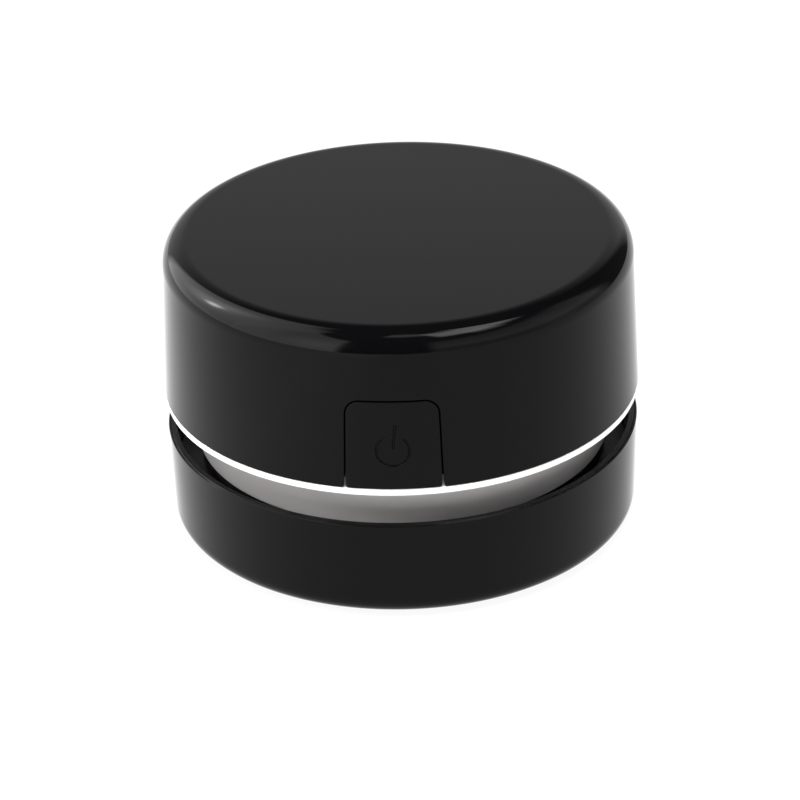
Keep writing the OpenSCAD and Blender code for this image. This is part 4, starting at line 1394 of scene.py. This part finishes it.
@dataclass
class Screws:
    """Pan head screws with a cross recess, placed on a circle."""

    head_radius: float = 2.0 * MM
    head: float = 1.3 * MM
    shank_radius: float = 1.0 * MM
    length: float = 7.0 * MM
    recess_half: float = 1.2 * MM
    recess_width: float = 0.5 * MM
    recess_depth: float = 0.7 * MM
    pitch: float = 0.8 * MM

    def _head_height(self, x: float, y: float) -> float:
        """Height of the domed head with its recess at a point.

        Args:
            x: Place along the first arm of the cross.
            y: Place along the second arm.

        Returns:
            The height over the head's seat.
        """
        share = math.hypot(x, y) / self.head_radius
        dome = self.head * (1 - 0.45 * share ** 3)
        slope = 0.12 * MM
        arms = [max(abs(a) - self.recess_half, abs(b) - self.recess_width / 2) for a, b in ((x, y), (y, x))]
        inside = min(max((slope / 2 - min(arms)) / slope, 0.0), 1.0)
        taper = max(1 - share, 0.0)
        return dome - self.recess_depth * inside * (0.6 + 0.4 * taper)

    def _template(self) -> bpy.types.Object:
        """One screw at the origin, its head's seat at z = 0."""
        sheet = Sheet()
        turns = [math.tau * i / 48 for i in range(48)]
        ring = None
        for r in reversed(spread(0, self.head_radius, 16)[1:]):
            points = [(r * math.cos(a), r * math.sin(a)) for a in turns]
            nxt = sheet.row([Vector((x, y, self._head_height(x, y))) for x, y in points])
            if ring is None:
                edge = nxt
            else:
                sheet.bridge(ring, nxt, closed=True)
            ring = nxt
        sheet.fan(ring, Vector((0, 0, self._head_height(0, 0))))
        ring = edge
        side = [(self.head_radius, 0.1 * MM), (self.head_radius - 0.1 * MM, 0.0), (self.shank_radius, 0.0)]
        for r, z in side:
            nxt = sheet.row([Vector((r * math.cos(a), r * math.sin(a), z)) for a in turns])
            sheet.bridge(ring, nxt, closed=True)
            ring = nxt
        for z in spread(-0.1 * MM, -self.length, 56):
            nxt = sheet.row([self._thread(a, z) for a in turns])
            sheet.bridge(ring, nxt, closed=True)
            ring = nxt
        sheet.fan(ring, Vector((0, 0, -self.length)))
        screw = bpy.data.objects.new("screw_template", sheet.mesh("screw_template"))
        bpy.context.scene.collection.objects.link(screw)
        return screw

    def _thread(self, angle: float, height: float) -> Vector:
        """Point on the threaded shank."""
        phase = (height / self.pitch + angle / math.tau) % 1
        r = self.shank_radius - 0.25 * MM * abs(2 * phase - 1)
        return Vector((r * math.cos(angle), r * math.sin(angle), height))

    def build(self, name: str, node: str, count: int, radius: float, first: float) -> None:
        """Places the screws of one set.

        Args:
            name: Name of the piece.
            node: Node that it replaces.
            count: Number of screws.
            radius: Radius of their circle.
            first: Angle of the first one, from +X.
        """
        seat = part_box(node)[1].z - self.head
        template = self._template()
        recipe = Recipe(name, {
            "Count": ("Int", count), "Radius": ("Float", radius), "First": ("Float", first),
            "Seat": ("Float", seat), "Screw": ("Object", template),
        })
        number = recipe.node("GeometryNodeInputIndex")
        step = recipe.sum("DIVIDE", math.tau, recipe.ask("Count"))
        angle = recipe.sum("ADD", recipe.sum("MULTIPLY", number, step), recipe.ask("First"))
        place = recipe.circle_point(angle, recipe.ask("Radius"), recipe.ask("Seat"))
        dots = recipe.node("GeometryNodePoints", None, {"Count": recipe.ask("Count"), "Position": place})
        given = {"Object": recipe.ask("Screw")}
        shape = recipe.node("GeometryNodeObjectInfo", None, given, output="Geometry")
        turn = recipe.random((0.0, 0.0, 0.0), (0.0, 0.0, math.tau), 23, vector=True)
        driven = recipe.node("GeometryNodeInstanceOnPoints", None, {
            "Points": dots, "Instance": shape, "Rotation": turn})
        data = recipe.run(driven, FINISHES["screw_steel"])
        bpy.data.objects.remove(template)
        data.set_sharp_from_angle(angle=math.radians(40))
        piece(name, data, "power_head", [node], FINISHES["screw_steel"])


@dataclass
class Wires:
    """The contact springs and the leads: round wire along a path."""

    lead_radius: float = 0.7 * MM
    spring_radius: float = 0.25 * MM
    spring_turns: int = 3
    spring_wide: float = 3.8 * MM
    spring_narrow: float = 2.4 * MM
    solder_gap: float = 0.2 * MM
    pad_x: float = 7.0 * MM
    pad_drop: float = 1.4 * MM
    tab_drop: float = 0.9 * MM
    step: float = 1.0 * MM
    finer: int = 14

    def _sweep(self, name: str, path: Sequence[Vector], radius: float, node: str, slot: str) -> None:
        """Sweeps a round wire along a path.

        Args:
            name: Name of the piece.
            path: Points of the path.
            radius: Radius of the wire.
            node: Node that it replaces.
            slot: Slot of its finish.
        """
        recipe = Recipe(name, {"Wire Radius": ("Float", radius), "Sides": ("Int", 16)})
        line = bpy.data.meshes.new(name + "_path")
        line.from_pydata([tuple(p) for p in path], [(i, i + 1) for i in range(len(path) - 1)], [])
        curve = recipe.node("GeometryNodeMeshToCurve", None, {0: recipe.ask("Geometry")})
        section = recipe.node("GeometryNodeCurvePrimitiveCircle", None, {
            "Resolution": recipe.ask("Sides"), "Radius": recipe.ask("Wire Radius")})
        tube = recipe.node("GeometryNodeCurveToMesh", None, {0: curve, 1: section, "Fill Caps": True})
        data = recipe.run(tube, FINISHES[slot], line)
        data.set_sharp_from_angle(angle=math.radians(50))
        piece(name, data, "power_head", [node], FINISHES[slot])

    def _smooth(self, points: Sequence[Vector]) -> list[Vector]:
        """A smooth curve through the way points.

        Args:
            points: The way points.

        Returns:
            Points along the curve.
        """
        last = len(points) - 1
        path = []
        for i in range(last):
            a, b, c, d = (points[min(max(k, 0), last)] for k in (i - 1, i, i + 1, i + 2))
            for t in spread(0, 1, self.finer)[:-1]:
                path.append(0.5 * (2 * b + (c - a) * t + (2 * a - 5 * b + 4 * c - d) * t ** 2
                                   + (3 * b - a - 3 * c + d) * t ** 3))
        return path + [points[-1]]

    def springs(self) -> None:
        """Winds the two contact springs."""
        for side, node in ((-1, "front_cell_spring"), (1, "rear_cell_spring")):
            low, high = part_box(node)
            cell_low, cell_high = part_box(node.replace("_spring", ""))
            axis_y, axis_z = (cell_low.y + cell_high.y) / 2, (cell_low.z + cell_high.z) / 2
            wide_end, length = (low.x if side < 0 else high.x), high.x - low.x
            path = []
            for s in spread(0, 1, self.spring_turns * 32):
                angle = math.tau * self.spring_turns * s
                r = self.spring_wide + (self.spring_narrow - self.spring_wide) * s
                run = self.spring_radius + (length - 2 * self.spring_radius) * s
                path.append(Vector((wide_end - side * run, axis_y - side * r * math.cos(angle),
                                    axis_z + r * math.sin(angle))))
            self._sweep(node.replace("_spring", "_coil"), path, self.spring_radius, node, "contact_nickel")

    def leads(self) -> None:
        """Lays the three leads along their way points."""
        tabs_low, tabs_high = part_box("end_contacts")
        board_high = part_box("circuit_board")[1]
        motor_low, motor_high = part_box("motor_terminals")
        cell_low, cell_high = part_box("rear_cell")
        cell_y = (cell_low.y + cell_high.y) / 2
        tab_x, tab_z = tabs_low.x - self.solder_gap, tabs_high.z - self.tab_drop
        tab = {y: Vector((tab_x, y * cell_y, tab_z)) for y in (-1, 1)}
        pad = {x: Vector((x * self.pad_x, board_high.y + self.solder_gap, board_high.z - self.pad_drop))
               for x in (-1, 1)}
        lug_x = motor_high.x - 1.1 * MM
        lug_z = (motor_low.z + motor_high.z) / 2
        lug = {x: Vector((x * lug_x, motor_low.y - self.solder_gap, lug_z)) for x in (-1, 1)}

        def route(start: Vector, steps: Sequence[Rgb]) -> list[Vector]:
            """Way points counted from a place where the lead is soldered."""
            return [start + self.step * Vector(s) for s in steps]

        supply = route(tab[1], [(0, 0, 0), (-1.6, 0, 0), (-4, -3, -0.6), (-5.4, -12, -3)])
        supply += route(tab[-1], [(-5.4, 12, -3.4), (-4.6, 3, -2), (-3.4, -2.6, -0.6), (-0.4, -7.6, 1.4)])
        supply += route(tab[-1], [(6, -8.6, 3)])
        supply += route(pad[-1], [(-7, 2.6, 3.2), (-1.6, 2.6, 2), (0, 1.2, 0), (0, 0, 0)])
        back = route(tab[-1], [(0, 0, 0), (-1.6, 0, 0), (-3.4, 2.2, 2.8), (-0.6, 5.6, 7), (7.4, 7.4, 9.6)])
        back += route(lug[-1], [(-8, -1, 0.6), (-2.6, -2.6, 0.2), (0, -1.6, 0), (0, 0, 0)])
        switched = route(pad[1], [(0, 0, 0), (0, 1.2, 0), (-0.4, 2.6, 1.8), (-1.2, 6, 5.4)])
        switched += route(lug[1], [(1.2, -6, -1.6), (0, -1.8, 0), (0, 0, 0)])
        for name, way, slot in (("supply", supply, "lead_red"), ("return", back, "lead_black"),
                                ("switched", switched, "lead_red")):
            self._sweep(name + "_wire", self._smooth(way), self.lead_radius, name + "_lead", slot)

    def build(self) -> None:
        """Makes the springs and the leads."""
        self.springs()
        self.leads()


# ---------------------------------------------------------------- carried-over parts


@dataclass(frozen=True)
class CarriedParts:
    """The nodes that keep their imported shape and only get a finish."""

    def build(self) -> None:
        """Dresses every node with the finish of its slot in the record."""
        for row in frame["record"]["subparts"]:
            node = frame["nodes"][row["node"]]
            for slot in node.material_slots:
                slot.material = FINISHES[row["material_slot"]].material()
            if not node.hide_render:
                LOG.info("kept %s: finish %s", row["node"], row["material_slot"])


# ---------------------------------------------------------------- studio


@dataclass(frozen=True)
class Panel:
    """A soft-edged patch of the surround.

    Angles are in degrees. The turn counts from the front (-Y) towards +X, the rise from the horizon. Where
    last_top is given, the upper edge runs from the rise's top at the first turn to last_top at the second.
    """

    turn: Pair
    rise: Pair
    glow: float
    soft: float = 3.0
    last_top: float | None = None

    def mask(self, turn: Wire, rise: Wire) -> Wire:
        """Share of the patch in a direction.

        Args:
            turn: Turn of the direction.
            rise: Rise of the direction.

        Returns:
            1 inside the patch, 0 outside.
        """
        (left, right), (low, high), s = self.turn, self.rise, self.soft
        across = turn.remap(left - s, left + s) * turn.remap(right - s, right + s, 1.0, 0.0)
        top = turn.remap(left, right, high, high if self.last_top is None else self.last_top)
        return across * rise.remap(low - s, low + s) * (top - rise).remap(-s, s)


@dataclass
class Studio:
    """Floor, surround, lamps and the camera at the photograph's angle."""

    distance: float = 600 * MM
    lens: float = 150.7
    elevation: float = math.radians(27.21)
    azimuth: float = math.radians(2.5)
    roll: float = math.radians(-1.752)
    target: Vector = field(default_factory=lambda: Vector((0, 0, 31 * MM)))
    target_x: float = 400.81
    target_y: float = 349.46
    frame_size: float = 800
    floor_half: float = 3.0
    fill: float = 0.6
    seen_floor: float = 1.04
    floor_glow: float = 0.9
    front_floor: float = 0.4
    left_floor: float = 0.6
    left_reach: Pair = (-10 * MM, -90 * MM)
    right_floor: float = 0.05
    right_reach: Pair = (40 * MM, 100 * MM)
    ceiling: Pair = (20, 50)
    ceiling_glow: float = 0.03
    dark: tuple[Panel, ...] = (
        Panel((-26, 17), (-60, 76), 1.0, 2.5),  # behind the camera
        Panel((116, 152), (-8, 60), 0.9, 5.0),  # right and behind
    )
    lit: tuple[Panel, ...] = (
        # the large left softbox, front half, back half and brighter parts
        Panel((-82, -27), (-2, 72), 3.4, 2.0, 49), Panel((-142, -82), (-2, 70), 3.4, 3.0, 72),
        Panel((-128, -72), (22, 62), 2.0, 12.0), Panel((-50, -27), (12, 38), 1.2, 8.0),
        # the pale wall on the right
        Panel((18, 113), (14, 40), 0.9, 4.0, 50), Panel((72, 92), (-30, 38), 0.35, 6.0),
        # the strip over the right shoulder
        Panel((30, 104), (61, 78), 12.0, 3.5), Panel((52, 76), (55, 66), 5.0, 3.0),
        Panel((-15, 34), (73, 83), 4.0, 3.5),
        # the lamp inside the left softbox and the glow round it
        Panel((-122, -102), (24, 50), 6.0, 9.0), Panel((-111, -105), (27, 36), 34.0, 3.0),
    )

    def camera(self) -> None:
        """Places the camera."""
        c, s = math.cos(self.elevation), math.sin(self.elevation)
        back = Vector((c * math.sin(self.azimuth), -c * math.cos(self.azimuth), s))
        data = bpy.data.cameras.new("camera")
        data.lens = self.lens
        data.sensor_width = 36.0
        data.clip_start, data.clip_end = 0.01, 20.0
        data.shift_x = (self.frame_size / 2 - self.target_x) / self.frame_size
        data.shift_y = (self.target_y - self.frame_size / 2) / self.frame_size
        eye = bpy.data.objects.new("camera", data)
        bpy.context.scene.collection.objects.link(eye)
        turn = (-back).to_track_quat("-Z", "Y").to_matrix() @ Matrix.Rotation(self.roll, 3, "Z")
        eye.matrix_world = Matrix.Translation(self.target + self.distance * back) @ turn.to_4x4()
        bpy.context.scene.camera = eye

    @staticmethod
    def _rays(graph: Graph, *names: str) -> Wire:
        """1 for the named kinds of ray, otherwise 0."""
        rays = [graph.add("ShaderNodeLightPath", output=f"Is {name} Ray") for name in names]
        return sum(rays[1:], rays[0]).remap(0.0, 1.0)

    def floor(self) -> None:
        """Lays the white floor, which keeps a share of the object's shadow and is clear from below."""
        h = self.floor_half
        data = bpy.data.meshes.new("floor")
        data.from_pydata([(-h, -h, 0), (h, -h, 0), (h, h, 0), (-h, h, 0)], [], [(0, 1, 2, 3)])
        graph = Graph(bpy.data.materials.new("floor_white"))
        plain = graph.add("ShaderNodeBsdfDiffuse", None, {"Color": (0.9, 0.9, 0.9, 1.0)})
        x = graph.part(graph.place(), "X")
        sides = x.remap(*self.left_reach) * self.left_floor + x.remap(*self.right_reach) * self.right_floor
        strength = self.seen_floor + self._rays(graph, "Glossy") * (sides + self.front_floor)
        glow = graph.add("ShaderNodeEmission", None, {"Color": (1.0, 1.0, 1.0, 1.0), "Strength": strength})
        share = self._rays(graph, "Camera", "Glossy", "Transmission") * self.floor_glow
        mixed = graph.add("ShaderNodeMixShader", None, {0: share, 1: plain, 2: glow})
        clear = graph.add("ShaderNodeBsdfTransparent")
        below = graph.add("ShaderNodeNewGeometry", output="Backfacing")
        graph.show(graph.add("ShaderNodeMixShader", None, {0: below, 1: mixed, 2: clear}))
        data.materials.append(graph.owner)
        thing = bpy.data.objects.new("floor", data)
        bpy.context.scene.collection.objects.link(thing)

    def world(self) -> None:
        """Sets a surround that is white where it is seen, softer as light, and a lit room in reflections."""
        world = bpy.data.worlds.new("surround")
        bpy.context.scene.world = world
        graph = Graph(world)
        way = graph.add("ShaderNodeTexCoord", output="Generated")
        x, y, z = (graph.part(way, axis) for axis in "XYZ")
        turn = graph.add("ShaderNodeMath", {"operation": "ARCTAN2"}, {0: x, 1: -1 * y}) * math.degrees(1)
        rise = graph.add("ShaderNodeMath", {"operation": "ARCSINE"}, {0: z}) * math.degrees(1)
        seen = self._rays(graph, "Camera", "Transmission")
        mirrored = self._rays(graph, "Glossy")
        soft_light = (seen + mirrored).remap(0.0, 1.0, 1.0, 0.0) * self.fill
        room = rise.remap(*self.ceiling, 1.0, self.ceiling_glow)
        for panel in self.dark:
            shade = 1 - panel.glow * panel.mask(turn, rise)
            room, soft_light = room * shade, soft_light * shade
        for panel in self.lit:
            room = room + panel.glow * panel.mask(turn, rise)
        glow = {"Color": (1.0, 1.0, 1.0, 1.0), "Strength": seen + soft_light + mirrored * room}
        graph.show(graph.add("ShaderNodeBackground", None, glow))

    @staticmethod
    def lamp(name: str, place: Rgb, size: Pair, power: float, aim: Rgb = (0, 0, 0.03)) -> None:
        """Adds one soft lamp that reflections don't show.

        Args:
            name: Name of the lamp.
            place: Where it stands.
            size: Its width and height.
            power: Its power in watts.
            aim: What it points at.
        """
        data = bpy.data.lights.new(name, "AREA")
        data.shape = "RECTANGLE"
        data.size, data.size_y = size
        data.energy = power
        thing = bpy.data.objects.new(name, data)
        thing.visible_glossy = False
        bpy.context.scene.collection.objects.link(thing)
        way = Vector(aim) - Vector(place)
        thing.matrix_world = Matrix.Translation(place) @ way.to_track_quat("-Z", "Y").to_matrix().to_4x4()

    def build(self) -> None:
        """Sets up the whole studio."""
        self.camera()
        self.floor()
        self.world()
        self.lamp("left_softbox", (-0.75, -0.45, 0.7), (0.5, 0.35), 7.0)
        self.lamp("top_softbox", (0.1, -0.35, 1.1), (0.8, 0.6), 16.0)
        bpy.context.scene.view_settings.view_transform = "Standard"


# ---------------------------------------------------------------- the whole object


def main() -> None:
    """Builds the pieces in order, dresses the rest and sets up the studio."""
    logging.basicConfig(level=logging.INFO, format="%(name)s: %(message)s")
    cover_low, cover_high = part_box("top_cover")
    key_low, key_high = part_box("power_key")
    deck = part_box("deck_screws")[1].z - Screws.head
    wall = CoverWall(radius=cover_high.x, low=deck, top=cover_high.z)
    outline = KeyOutline(low=key_low.z, top=key_high.z)
    TopCover(wall, outline, foot=cover_low.z).build()
    PowerKey(wall, outline).build()
    Shells().build()
    Brush().build()
    Screws().build("deck_screw_set", "deck_screws", 4, 30.6 * MM, math.pi / 4)
    Screws().build("strap_screw_set", "strap_screws", 2, 14.55 * MM, 0.0)
    Wires().build()
    CarriedParts().build()
    Studio().build()


if __name__ == "__main__":
    main()
